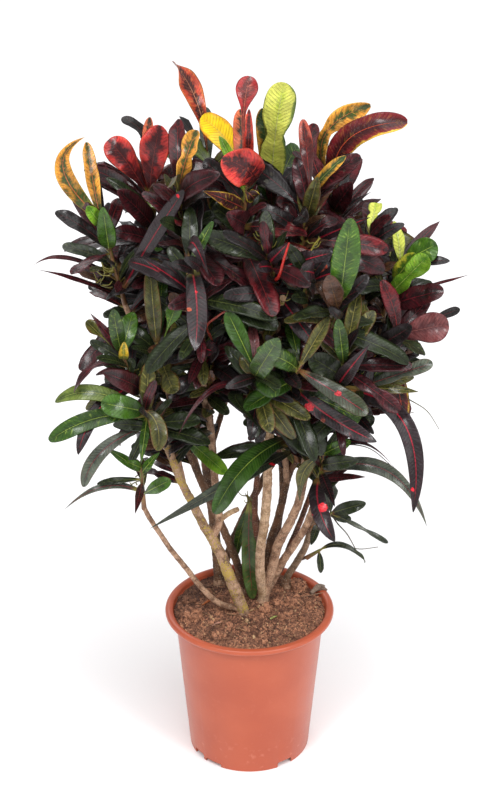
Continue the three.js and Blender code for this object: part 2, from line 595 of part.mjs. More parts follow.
// A tapered limb along points, with flat ends.
function limb(points, wide, sides) {
  const vertices = [];
  const triangles = [];
  let aside = null;
  points.forEach((point, i) => {
    const before = points[Math.max(i - 1, 0)];
    const after = points[Math.min(i + 1, points.length - 1)];
    const along = after.clone().sub(before).normalize();
    aside = (aside ?? vector(1, 0.3, 0)).clone();
    aside.addScaledVector(along, -aside.dot(along)).normalize();
    const across = along.clone().cross(aside);
    const radius = THREE.MathUtils.lerp(...wide, i / (points.length - 1));
    for (let k = 0; k < sides; k++) {
      const turn = (2 * Math.PI * k) / sides;
      const rim = aside.clone().multiplyScalar(Math.cos(turn)).addScaledVector(across, Math.sin(turn));
      vertices.push(rim.multiplyScalar(radius).add(point));
    }
  });
  const last = (points.length - 1) * sides;
  for (let i = 0; i < last; i += sides) {
    for (let k = 0; k < sides; k++) {
      const next = (k + 1) % sides;
      triangles.push([i + k, i + next, i + sides + next], [i + k, i + sides + next, i + sides + k]);
    }
  }
  for (let k = 1; k < sides - 1; k++) {
    triangles.push([0, k + 1, k], [last, last + k, last + k + 1]);
  }
  return solid(vertices, triangles);
}

// ---- a leaf ----

// Half width at share t of the length, as a share of the widest.
function outline(kind, t) {
  const { widest, foot, swell, fall, waist } = KINDS[kind];
  let share;
  if (t < widest) {
    share = foot + (1 - foot) * Math.sin((t / widest) * (Math.PI / 2)) ** swell;
  } else {
    const past = (t - widest) / (1 - widest);
    share = Math.max(1 - past ** fall[0], 0) ** fall[1];
  }
  if (waist) {
    share *= 1 - waist[2] * Math.exp(-(((t - waist[0]) / waist[1]) ** 2));
  }
  return share;
}

// The midrib's point and the blade's sideways and upward directions at share t of the length.
function frameAt(leaf, t) {
  const { foot, bend, tip } = leaf;
  const point = foot.clone().multiplyScalar((1 - t) * (1 - t));
  point.addScaledVector(bend, 2 * t * (1 - t)).addScaledVector(tip, t * t);
  const along = bend.clone().sub(foot).multiplyScalar(1 - t);
  along.addScaledVector(tip.clone().sub(bend), t).normalize();
  const side = along.clone().cross(leaf.face).normalize();
  const rise = side.clone().cross(along);
  return { point, side, rise };
}

// A blade with a ridge on both faces and waved edges, which comes out of the shoot as a thin stalk.
// "swollen" adds air all round, and "from" leaves out the stretch next to the shoot.
function blade(leaf, swollen = 0, from = 0) {
  const ridge = BLADE.thick / 2 + swollen;
  const root = frameAt(leaf, from);
  const vertices = [
    root.point.clone().addScaledVector(root.rise, ridge),
    root.point.clone().addScaledVector(root.rise, -ridge),
  ];
  const triangles = [[0, 3, 2], [1, 0, 2], [1, 2, 5], [0, 4, 3], [0, 1, 4], [1, 5, 4]];
  for (const t of leaf.cuts) {
    const { point, side, rise } = frameAt(leaf, t);
    const half = outline(leaf.kind, t) * leaf.half + swollen;
    const ripple = (lag) => Math.sin(2 * Math.PI * (BLADE.waves * t + leaf.phase + lag));
    const edge = (sign, lag) =>
      point
        .clone()
        .addScaledVector(side, sign * half)
        .addScaledVector(rise, half * (BLADE.fold + BLADE.wave * t * ripple(lag)));
    vertices.push(
      edge(-1, 0),
      point.clone().addScaledVector(rise, ridge),
      edge(1, BLADE.lag),
      point.clone().addScaledVector(rise, -ridge),
    );
  }
  const end = vertices.length;
  vertices.push(leaf.tip.clone().sub(leaf.bend).setLength(swollen).add(leaf.tip));
  for (let i = 2; i + 4 < end; i += 4) {
    triangles.push([i, i + 5, i + 4], [i, i + 1, i + 5]);
    triangles.push([i + 1, i + 6, i + 5], [i + 1, i + 2, i + 6]);
    triangles.push([i + 2, i + 3, i + 6], [i + 3, i + 7, i + 6]);
    triangles.push([i + 3, i, i + 7], [i, i + 4, i + 7]);
  }
  for (let k = 0; k < 4; k++) {
    triangles.push([end - 4 + k, end - 4 + ((k + 1) % 4), end]);
  }
  return solid(vertices, triangles);
}

// ---- where leaves go ----

// Draws between 0 and 1 that are the same on every run.
function draws(seed) {
  let state = seed >>> 0;
  return () => {
    state = (state + 0x6d2b79f5) >>> 0;
    let mixed = Math.imul(state ^ (state >>> 15), state | 1);
    mixed ^= mixed + Math.imul(mixed ^ (mixed >>> 7), mixed | 61);
    return ((mixed ^ (mixed >>> 14)) >>> 0) / 4294967296;
  };
}

// The upper face's direction: towards the shoot's tip, turned to the viewer by "facing".
function faceOf(shoot, foot, tip, facing) {
  const chord = tip.clone().sub(foot).normalize();
  const square = (v) => v.clone().addScaledVector(chord, -v.dot(chord)).normalize();
  const inner = square(shoot.axis);
  const viewer = square(EYE.clone().sub(foot));
  return inner.multiplyScalar(1 - Math.abs(facing)).addScaledVector(viewer, facing).normalize();
}

function leafBetween(shoot, foot, tip, { wide, kind, facing, arch, over, phase }) {
  const face = faceOf(shoot, foot, tip, facing);
  const straight = foot.clone().add(tip).multiplyScalar(0.5);
  const middle = over ? seen(over, straight.y) : straight.clone();
  middle.addScaledVector(face, arch * foot.distanceTo(tip));
  const bend = middle.multiplyScalar(2).sub(straight);
  const cuts = wide < BLADE.wide ? KINDS[kind].few : KINDS[kind].cuts;
  return { foot, bend, tip, face, kind, half: wide / 2, phase, cuts };
}

// A leaf read from the photograph, with its tip moved "shift" mm in depth.
function readLeaf(shoot, row, phase, shift) {
  const [at, pixel, deep, wide, kind, facing, arch, over] = row;
  const foot = shoot.foot.clone().lerp(shoot.tip, at);
  const tip = seen(pixel, shoot.tip.y + deep + shift);
  return leafBetween(shoot, foot, tip, { wide, kind, facing, arch, over, phase });
}

// The shoot's own leaf number i, turned "turn" degrees round the shoot from its place.
const RULE = {
  lowest: 0.14, // where along the shoot the first leaf stands, and the last
  highest: 0.98,
  droop: -12, // degrees above square to the shoot, of the first leaf and of the last
  erect: 64,
  sag: 0.22, // how far the low leaves bow down
  facing: 0.5,
  kinds: ["strap", "blunt", "oval", "blunt", "waist", "strap", "spoon"],
};

function ruledLeaf(shoot, i, turn) {
  const draw = draws(SEED + 1000 * shoot.number + i);
  const share = (i + 0.5) / shoot.leaves;
  const bearing = radians(GOLDEN * i + 40 * draw() + 67 * shoot.number + turn);
  const lift = radians(THREE.MathUtils.lerp(RULE.droop, RULE.erect, share ** 1.2) + 16 * draw() - 8);
  const long = shoot.long * (0.9 + 0.4 * draw()) * (1 - 0.25 * share);
  const wide = shoot.wide * (1.05 + 0.4 * draw());
  const kind = RULE.kinds[Math.floor(draw() * RULE.kinds.length)];
  const arch = 0.06 + 0.12 * draw();
  const foot = shoot.foot.clone().lerp(shoot.tip, THREE.MathUtils.lerp(RULE.lowest, RULE.highest, share));
  const aside = shoot.axis.clone().cross(vector(0.2, 1, 0)).normalize();
  const across = shoot.axis.clone().cross(aside);
  const way = aside.multiplyScalar(Math.cos(bearing)).addScaledVector(across, Math.sin(bearing));
  way.multiplyScalar(Math.cos(lift)).addScaledVector(shoot.axis, Math.sin(lift));
  way.addScaledVector(UP, -RULE.sag * (1 - share)).normalize();
  const tip = foot.clone().addScaledVector(way, long);
  return leafBetween(shoot, foot, tip, { wide, kind, facing: RULE.facing, arch, phase: draw() });
}

// ---- what a leaf must keep clear of ----

function inside(outlinePoints, { x, y }) {
  let within = false;
  outlinePoints.forEach(([ax, ay], i) => {
    const [bx, by] = outlinePoints[(i + 1) % outlinePoints.length];
    if (ay > y !== by > y && x < ax + ((bx - ax) * (y - ay)) / (by - ay)) {
      within = !within;
    }
  });
  return within;
}

const boxesMeet = (a, b) => [0, 1, 2].every((k) => a.min[k] <= b.max[k] && b.min[k] <= a.max[k]);

function meet(a, b) {
  return boxesMeet(a.boundingBox(), b.boundingBox()) && !a.intersect(b).isEmpty();
}

// Solids already placed, by node, and the footprints of the leaves read from the photograph.
const placed = new Map();
const footprints = [];

function clearOfOthers(leaf, node) {
  const swollen = blade(leaf, BLADE.clear);
  return ![...placed].some(([other, solids]) => other !== node && solids.some((s) => meet(swollen, s)));
}

function clearOfOwn(leaf, own) {
  const outer = blade(leaf, BLADE.clear / 2, BLADE.inset);
  return !own.some((other) => meet(outer, other));
}

function mark(leaf) {
  for (const t of [0.35, 0.5, 0.65, 0.8, 0.93]) {
    const { point } = frameAt(leaf, t);
    const place = shown(point);
    footprints.push({ ...place, radius: outline(leaf.kind, t) * leaf.half * place.scale });
  }
}

// Whether a leaf lies over one that was read from the photograph.
function hides(leaf) {
  return [0.45, 0.7, 0.95].some((t) => {
    const place = shown(frameAt(leaf, t).point);
    return footprints.some(
      (spot) => place.away < spot.away && Math.hypot(place.x - spot.x, place.y - spot.y) < spot.radius,
    );
  });
}

function inCanopy(leaf) {
  const tip = shown(leaf.tip);
  const middle = shown(frameAt(leaf, 0.6).point);
  return inside(CANOPY, tip) && ![tip, middle].some((place) => inside(WINDOW, place));
}

// ---- the pot and its soil ----

function potSolid() {
  const { high, lip, mouth, lipDeep, shoulder, foot, wall, floor, pad, channel, facets } = POT;
  const under = high - lipDeep;
  const step = under - 4;
  const outside = [
    [pad, 0], [pad + 2, channel], [foot - wall - 2, channel], [foot - wall, 0], [foot, 0],
    [shoulder, step], [shoulder + 2, under], [lip - 2, under], [lip, under + 3], [lip - 2, high - 1],
    [mouth + 3, high], [mouth, high - 3],
  ];
  const inner = [
    [mouth - 0.6, under + 1], [shoulder - wall, step], [foot - wall + 0.6, channel + floor],
    [0, channel + floor],
  ];
  let pot = turned([[0, 0], ...outside, ...inner], facets);
  for (const notch of NOTCHES) {
    const chord = 2 * foot * Math.tan(radians(notch.width / 2));
    const cutter = new THREE.BoxGeometry(chord, 6 * wall, 2 * notch.high);
    cutter.translate(0, -(foot - wall / 2), 0).rotateZ(radians(notch.bearing));
    pot = pot.subtract(solidOf(cutter));
  }
  return pot;
}

// The stump's solid, "grown" larger all round for the hole that it stands in.
function stockSolid([x, y], grown = 0) {
  const { below, above, radius, neck, sides } = STOCK;
  const foot = SOIL.middle - below - grown;
  const rim = radius + grown / Math.cos(Math.PI / sides);
  const top = SOIL.middle + above;
  const head = grown ? rim : neck;
  const made = turned([[0, foot], [rim, foot], [rim, SOIL.middle + 1], [head, top], [0, top]], sides);
  return made.translate([x, y, 0]);
}

function soilSolid() {
  const { high, lipDeep, mouth, shoulder, foot, wall, floor, channel, facets } = POT;
  const step = high - lipDeep - 4;
  let soil = turned(
    [
      [0, channel + floor + GAP],
      [foot - wall + 0.5 - GAP, channel + floor + GAP],
      [shoulder - wall - 0.1 - GAP, step],
      [mouth - 0.8 - GAP, SOIL.edge],
      [SOIL.slope, SOIL.middle],
      [0, SOIL.middle],
    ],
    facets,
  );
  for (const centre of Object.values(STOCKS)) {
    soil = soil.subtract(stockSolid(centre, GAP));
  }
  return soil;
}

// ---- putting the plant together ----

const join = (solids) => solids.reduce((sum, next) => sum.add(next));

for (const [node, centre] of Object.entries(STOCKS)) {
  placed.set(node, [stockSolid(centre)]);
}

const ends = [];

function addBranch({ node, wide, rooted }, points) {
  ends.push(points.at(-1));
  if (rooted) {
    points.unshift(vector(...STOCKS[node], SOIL.middle + 4));
  }
  placed.get(node).push(limb(points, wide, wide[0] > STEM.thin ? STEM.sides : STEM.fewSides));
}

for (const branch of BRANCHES) {
  addBranch(branch, branch.route.map(([px, py, deep]) => seen([px, py], deep)));
}
for (const branch of FAR_BRANCHES) {
  addBranch(branch, branch.route.map((place) => vector(...place)));
}
const wood = join(Object.keys(STOCKS).flatMap((node) => placed.get(node)));

const near = Object.entries(SHOOTS).map(([name, { foot, tip, ...rest }]) => ({
  name, ...rest, foot: seen(foot, foot[2]), tip: seen(tip, tip[2]),
}));
const far = Object.entries(FAR_SHOOTS).map(([name, { foot, tip, ...rest }]) => ({
  name, ...rest, foot: vector(...foot), tip: vector(...tip),
}));

// The shoot's stem, starting "off" mm beyond the branch's end.
function stemOf({ end, axis, tip }, off) {
  const start = end.clone().addScaledVector(axis, off);
  return limb([start, tip], [SHOOT.root, SHOOT.tip], SHOOT.sides);
}

// How far beyond the branch's end the stem starts to just clear the wood.
function seating(shoot) {
  let [touching, clear] = [0, SHOOT.reach];
  while (clear - touching > SHOOT.close) {
    const off = (clear + touching) / 2;
    const near = wood.minGap(stemOf(shoot, off), 2 * GAP) < GAP;
    [touching, clear] = near ? [off, clear] : [touching, off];
  }
  return clear;
}

// Each shoot grows from the end of the branch that is nearest to its foot.
const shoots = [...near, ...far].map((shoot, number) => {
  const distances = ends.map((end) => end.distanceTo(shoot.foot));
  const end = ends[distances.indexOf(Math.min(...distances))];
  const axis = shoot.tip.clone().sub(end).normalize();
  const seated = { ...shoot, number, end, axis, own: [] };
  const off = seating(seated);
  seated.fused = stemOf(seated, off);
  seated.foot = end.clone().addScaledVector(axis, off + SHOOT.sunk);
  placed.set(shoot.name, [seated.fused]);
  return seated;
});

function place(shoot, leaf) {
  const made = blade(leaf);
  placed.get(shoot.name).push(made);
  shoot.own.push(blade(leaf, 0, BLADE.inset));
  shoot.fused = shoot.fused.add(made);
}

// How many facets a leaf adds to its shoot beyond those that its kind needs.
function spare(shoot, leaf) {
  const added = shoot.fused.add(blade(leaf)).numTri() - shoot.fused.numTri();
  return added - FACETS.stalk - FACETS.band * leaf.cuts.length;
}

// The first of some leaves that joins the shoot plainly, or else the plainest.
function plainest(shoot, leaves) {
  const over = leaves.map((leaf) => Math.max(spare(shoot, leaf), 0));
  return leaves[over.indexOf(Math.min(...over))];
}

// The leaves read from the photograph come first.
for (const shoot of shoots) {
  (LEAVES[shoot.name] ?? []).forEach((row, i) => {
    const phase = draws(SEED + 500000 + 1000 * shoot.number + i)();
    const tries = SHIFTS.map((shift) => readLeaf(shoot, row, phase, shift));
    const found = plainest(shoot, tries.filter((leaf) => clearOfOthers(leaf, shoot.name)));
    if (found) {
      place(shoot, found);
      mark(found);
    }
  });
}

// The rule's leaves fill in, one to a shoot in each round.
const mostLeaves = Math.max(...shoots.map((shoot) => shoot.leaves));
for (let i = 0; i < mostLeaves; i++) {
  for (const shoot of shoots.filter((candidate) => i < candidate.leaves)) {
    const tries = TURNS.map((turn) => ruledLeaf(shoot, i, turn));
    const found = tries.find(
      (leaf) =>
        inCanopy(leaf) &&
        !hides(leaf) &&
        clearOfOwn(leaf, shoot.own) &&
        clearOfOthers(leaf, shoot.name) &&
        spare(shoot, leaf) <= 0,
    );
    if (found) {
      place(shoot, found);
    }
  }
}

// ---- finishes and the group ----

// The leaves' leading colour on a shoot.
const TINTS = {
  maroon: "#4a2426",
  dark_green: "#26421f",
  green: "#4b7a2c",
  crown: "#7a3a2c",
  coral: "#b9563f",
  lime: "#a8b04a",
};

const finish = (color, roughness) => new THREE.MeshStandardMaterial({ color, roughness, metalness: 0 });

const croton = new THREE.Group();

function addMesh(name, made, material) {
  const mesh = new THREE.Mesh(geometryOf(made), material);
  mesh.name = name;
  croton.add(mesh);
}

addMesh("pot", potSolid(), finish("#cd6e55", 0.45));
addMesh("soil", soilSolid(), finish("#6f4a35", 0.95));
for (const node of Object.keys(STOCKS)) {
  addMesh(node, join(placed.get(node)), finish("#a88c6c", 0.85));
}

for (const shoot of shoots) {
  addMesh(shoot.name, shoot.fused, finish(TINTS[shoot.tint], 0.35));
}

export default croton;
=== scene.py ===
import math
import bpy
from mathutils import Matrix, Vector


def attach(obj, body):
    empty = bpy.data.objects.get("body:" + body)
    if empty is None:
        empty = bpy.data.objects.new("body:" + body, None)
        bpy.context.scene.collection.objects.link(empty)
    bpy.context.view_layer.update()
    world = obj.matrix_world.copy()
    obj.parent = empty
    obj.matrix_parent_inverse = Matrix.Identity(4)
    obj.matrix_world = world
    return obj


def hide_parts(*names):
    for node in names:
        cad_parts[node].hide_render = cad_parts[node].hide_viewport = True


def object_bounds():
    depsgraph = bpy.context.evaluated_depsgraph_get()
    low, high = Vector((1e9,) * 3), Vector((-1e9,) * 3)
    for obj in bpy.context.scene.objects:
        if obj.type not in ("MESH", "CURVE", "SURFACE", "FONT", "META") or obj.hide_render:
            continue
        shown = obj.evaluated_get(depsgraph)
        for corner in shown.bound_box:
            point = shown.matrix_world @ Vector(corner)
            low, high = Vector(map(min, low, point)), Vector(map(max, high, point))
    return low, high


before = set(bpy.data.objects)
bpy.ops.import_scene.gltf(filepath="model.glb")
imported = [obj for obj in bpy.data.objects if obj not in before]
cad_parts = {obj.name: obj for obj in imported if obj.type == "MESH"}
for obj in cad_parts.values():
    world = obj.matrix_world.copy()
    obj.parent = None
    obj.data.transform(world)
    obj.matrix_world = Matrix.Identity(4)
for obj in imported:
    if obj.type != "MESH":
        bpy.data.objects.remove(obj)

# A potted croton: a moulded nursery pot, its soil, the woody stems that stand in it and the leafy
# shoots that the stems carry. Sizes are in millimetres until a mesh is made, which is in metres.

from types import SimpleNamespace

import bmesh
import bpy
import mathutils
import numpy as np
from mathutils import Matrix, Vector, kdtree

CAD_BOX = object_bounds()
SCENE = bpy.context.scene
MM = 0.001

# ---- sizes that the solids share ----

POT = SimpleNamespace(
    high=226,  # foot to lip
    lip=120,  # outer radius of the rounded lip
    mouth=108.5,  # inner radius of the lip
    lip_deep=9,  # height of the lip
    shoulder=105.5,  # outer wall radius under the lip
    foot=86.5,  # outer wall radius at the foot
    wall=2.4,
    floor=4,
    pad=66,  # radius of the middle of the underside, which rests on the ground
    channel=9,  # height of the drain channel round the pad
)
POT_UNDER = POT.high - POT.lip_deep  # height of the lip's lower edge
POT_STEP = POT_UNDER - 4  # height at which the wall steps out to the lip
# Drain notches in the foot ring: bearing from the front and width, in degrees, and height.
NOTCHES = [(36, 16, 9), (-37, 18, 6), (-56, 14, 9), (108, 16, 9), (180, 16, 9), (-124, 16, 9)]
SOIL_EDGE, SOIL_MIDDLE, SOIL_SLOPE = 218.5, 222, 85  # height at the wall, in the middle, its radius
SOIL_FLOOR = POT.channel + POT.floor
# Where the stumps stand from which the stems rise.
STOCKS = {
    "stems_left": (-9, -13),
    "stem_back_left": (-2, 45),
    "stems_centre": (20, 18),
    "stem_right": (54, 60),
    "stems_back": (-44, 66),
}
# A shoot's stem: its radius at the foot, how far past the branch's end it may start, and how far inside it
# the lowest leaf roots.
SHOOT_ROOT, SHOOT_REACH, SHOOT_SUNK = 4.4, 14, 1.5
BLADE = SimpleNamespace(
    thick=1.5,  # along the midrib
    fold=0.14,  # how far the edges rise, as a share of the half width
    wide=24,  # width from which the solid's blade has more facets
)
GOLDEN = 137.5  # degrees from one leaf to the next round a stem
SEED = 1947

# Outlines of a blade: where it is widest, the share of its width at the foot, how it swells and falls,
# a waist, and the last place along it where the solid has corners, for a wide one and a narrow one.
KINDS = {
    "spoon": (0.72, 0.12, 2.2, (2.2, 0.5), None, (0.92, 0.88)),
    "club": (0.86, 0.1, 20, (2, 0.5), None, (0.88, 0.88)),
    "canoe": (0.8, 0.12, 5, (1.6, 0.8), None, (0.93, 0.85)),
    "oval": (0.52, 0.12, 1, (2.2, 0.55), None, (0.85, 0.8)),
    "blunt": (0.62, 0.14, 0.9, (3, 0.5), None, (0.92, 0.86)),
    "strap": (0.45, 0.15, 0.8, (1.8, 1), None, (0.76, 0.7)),
    "sword": (0.5, 0.2, 0.6, (3.2, 0.8), None, (0.76, 0.7)),
    "leafy": (0.6, 0.13, 1.1, (2.6, 0.5), None, (0.76, 0.7)),
    "ribbon": (0.4, 0.3, 0.8, (1.5, 1), None, (0.78, 0.7)),
    "tail": (0.36, 0.3, 1, (0.8, 1.6), None, (0.62, 0.62)),
    "waist": (0.82, 0.14, 0.5, (2.4, 0.5), (0.58, 0.1, 0.45), (0.95, 0.86)),
}
# Outlines of the leaves that come by rule and of those that fill the canopy.
RULE_KINDS = ["leafy", "blunt", "oval", "blunt", "waist", "leafy", "spoon"]
FILL_KINDS = ["spoon", "blunt", "spoon", "oval", "blunt", "leafy", "waist"]
# Shifts of depth in mm, and turns in degrees, among which a solid leaf's own is found.
SHIFTS = [0, -12, 12, -25, 25, -40, 40, -60, 60]
TURNS = [7.5 * (i + i % 2) * (1 if i % 2 else -1) for i in range(25)]

# ---- the photograph's view ----

EYE = np.array([-3.5, -2187, 1587.0])
PITCH, FOCAL, CENTRE = math.radians(25.4), 1800, (247, 400)
AHEAD = np.array([0, math.cos(PITCH), -math.sin(PITCH)])
ABOVE = np.array([0, math.sin(PITCH), math.cos(PITCH)])


def ray_to(pixel):
    """The direction in which a pixel looks."""
    return FOCAL * AHEAD + np.array([pixel[0] - CENTRE[0], 0, 0]) + (CENTRE[1] - pixel[1]) * ABOVE


def seen(pixel, deep):
    """The point that shows at a pixel and lies "deep" mm behind the pot's axis."""
    ray = ray_to(pixel)
    return EYE + ray * ((deep - EYE[1]) / ray[1])


def on_soil(pixel, high=SOIL_MIDDLE):
    """The point of the soil that shows at a pixel."""
    ray = ray_to(pixel)
    return EYE + ray * ((high - EYE[2]) / ray[2])


# ---- woody stems: node, bark, radius at both ends, whether it stands in its stump, route ----

# Rows with the shade bark are stems that stand behind others, darkened with painted shade.
BRANCHES = [
    ("stems_left", "tan", (4.2, 3.2), True,
     [(219, 603, -20), (201, 587, -28), (186, 568, -36), (172, 551, -43), (161, 535, -50),
      (149, 517, -57), (144, 507, -61)]),
    ("stems_left", "lichen", (8.6, 6.4), True,
     [(231, 580, -17), (222, 557, -20), (212, 538, -24), (204, 526, -27)]),
    ("stems_left", "lichen", (6.4, 4.4), False,
     [(205, 528, -27), (194, 506, -31), (181, 481, -38), (168, 449, -46), (161, 441, -49)]),
    ("stems_left", "tan", (4.2, 3.6), False, [(166, 447, -47), (154, 420, -46), (144, 399, -45)]),
    ("stems_left", "tan", (4.8, 4), False,
     [(183, 484, -37), (176, 450, -24), (172, 415, -20), (168, 387, -20)]),
    ("stems_left", "tan", (4.4, 3.8), False,
     [(175, 446, -23), (158, 400, 0), (141, 345, 0), (125, 304, -9)]),
    ("stems_left", "tan", (5.8, 4.6), False,
     [(212, 538, -24), (219, 519, -20), (215, 480, -12), (211, 430, -7), (207, 403, -6)]),
    ("stems_left", "stub", (4, 3.4), False, [(219, 521, -20), (228, 514, -24), (238, 509, -28)]),
    ("stems_left", "tan", (4.4, 3.8), False,
     [(211, 432, -7), (204, 395, -30), (203, 355, -65), (202, 331, -88)]),
    ("stems_left", "tan", (4.2, 3.6), False,
     [(204, 397, -29), (196, 345, -20), (190, 300, -35), (188, 263, -54)]),
    ("stem_back_left", "shade", (6.2, 5), True,
     [(241, 577, 45), (236, 560, 45), (222, 526, 43), (204, 488, 41), (186, 444, 38)]),
    ("stem_back_left", "tan", (4.4, 3.8), False,
     [(200, 478, 41), (184, 420, 60), (172, 350, 45), (164, 300, 28), (158, 265, 21)]),
    ("stem_back_left", "tan", (4.2, 3.6), False,
     [(182, 412, 60), (196, 350, 66), (205, 295, 48), (208, 251, 31)]),
    ("stems_centre", "pale", (7, 6), True,
     [(260, 570, 8), (261, 545, 0), (264, 526, -6), (267, 494, -16), (268, 464, -24), (270, 420, -34)]),
    ("stems_centre", "twig", (3.8, 3.2), False, [(269, 428, -32), (263, 415, -40), (258, 403, -45)]),
    ("stems_centre", "twig", (3.8, 3.2), False, [(270, 430, -32), (275, 416, -46), (280, 401, -59)]),
    ("stems_centre", "shade", (6.6, 5), True,
     [(266, 589, 24), (268, 558, 28), (272, 536, 31), (278, 519, 33), (286, 484, 35), (290, 471, 36)]),
    ("stems_centre", "twig", (3, 2.6), False, [(267, 556, 28), (260, 528, 40), (253, 505, 42)]),
    ("stems_centre", "twig", (4, 3.6), False, [(289, 474, 36), (293, 467, 30), (297, 460, 23)]),
    ("stems_centre", "tan", (4.8, 3.8), False,
     [(287, 482, 35), (284, 440, 22), (283, 390, -5), (279, 340, -40), (276, 303, -69)]),
    ("stems_centre", "tan", (4.4, 3.8), False,
     [(284, 442, 23), (262, 390, 30), (262, 330, 28), (270, 263, 21)]),
    ("stems_centre", "tan", (4, 3.4), False, [(280, 345, -37), (262, 300, -50), (240, 263, -60)]),
    ("stems_centre", "tan", (7.2, 5.6), True,
     [(271, 572, 16), (278, 545, 8), (290, 522, 0), (299, 501, -8), (304, 475, -16)]),
    ("stems_centre", "tan", (5, 3.8), False,
     [(303, 480, -15), (309, 430, -22), (318, 380, -60), (326, 345, -84)]),
    ("stems_centre", "tan", (4, 3.4), False, [(317, 384, -57), (311, 350, -70), (306, 319, -79)]),
    ("stems_centre", "tan", (4.4, 3.6), False,
     [(308, 434, -21), (306, 380, -20), (302, 320, -38), (300, 269, -49)]),
    ("stems_centre", "tan", (6, 4.6), True,
     [(281, 564, 22), (294, 545, 2), (306, 526, -12), (316, 499, -24)]),
    ("stems_centre", "twig", (3.2, 2.8), False, [(300, 536, -5), (307, 531, -10), (314, 527, -14)]),
    ("stems_centre", "russet", (4.8, 3.8), True,
     [(257, 570, 28), (256, 540, 30), (255, 505, 30), (258, 468, 26), (262, 436, 14)]),
    ("stems_centre", "russet", (4.4, 3.4), True,
     [(282, 566, 34), (290, 545, 28), (300, 522, 18), (312, 490, 2), (320, 468, -10)]),
    ("stems_centre", "shade", (3.6, 3), True,
     [(268, 575, 34), (276, 545, 38), (281, 510, 40), (281, 470, 38), (277, 440, 30)]),
    ("stem_right", "grey", (5.2, 4.6), True,
     [(287, 577, 62), (296, 563, 61), (306, 545, 60), (317, 510, 55), (330, 465, 45)]),
    ("stem_right", "twig", (2.6, 2), False, [(298, 560, 61), (304, 558, 61), (308, 557, 60)]),
    ("stem_right", "grey", (4.4, 3.6), False, [(330, 467, 45), (338, 430, -10), (346, 403, -44)]),
    ("stem_right", "grey", (3.6, 3), False, [(339, 422, -21), (334, 404, -48), (338, 392, -69)]),
    ("stem_right", "grey", (4.6, 3.8), False,
     [(329, 468, 46), (350, 415, 30), (364, 375, 0), (372, 351, -29)]),
    ("stem_right", "grey", (4.4, 3.6), False,
     [(351, 413, 29), (364, 370, 40), (378, 338, 10), (384, 313, -9)]),
    ("stem_right", "grey", (4.2, 3.6), False,
     [(362, 376, 38), (352, 340, 42), (336, 300, 38), (326, 263, 31)]),
    ("stem_right", "grey", (4, 3.4), False, [(353, 343, 41), (362, 320, 10), (362, 297, -19)]),
]
# The far stems all take the shade bark: painted shade behind the canopy.
FAR_BRANCHES = [
    ("stems_back", "shade", (7.6, 6), True, [(-50, 82, 300), (-60, 98, 380), (-70, 112, 460)]),
    ("stems_back", "shade", (5, 3.8), False, [(-69, 110, 455), (-105, 125, 530), (-140, 130, 610)]),
    ("stems_back", "shade", (5, 3.8), False, [(-69, 110, 455), (-78, 140, 560), (-85, 125, 690)]),
    ("stems_back", "shade", (4.6, 3.8), False, [(-62, 102, 400), (-30, 150, 490), (5, 165, 590)]),
    ("stems_back", "shade", (4.4, 3.6), False, [(-28, 152, 496), (-14, 125, 600), (8, 105, 700)]),
    ("stems_back", "shade", (6, 4.6), True, [(-20, 90, 290), (22, 118, 370), (70, 132, 450)]),
    ("stems_back", "shade", (4.6, 3.6), False, [(68, 131, 446), (115, 132, 520), (155, 120, 600)]),
    ("stems_back", "shade", (4.6, 3.6), False, [(68, 131, 446), (88, 134, 560), (100, 115, 690)]),
    ("stems_back", "shade", (4.2, 3.6), False, [(48, 126, 414), (70, 170, 470), (82, 192, 540)]),
    ("stems_back", "shade", (4.2, 3.6), False, [(-75, 116, 475), (-82, 165, 520), (-90, 187, 580)]),
]

# ---- leafy shoots: foot, tip, leaves by rule with their length and width, and leading colour ----

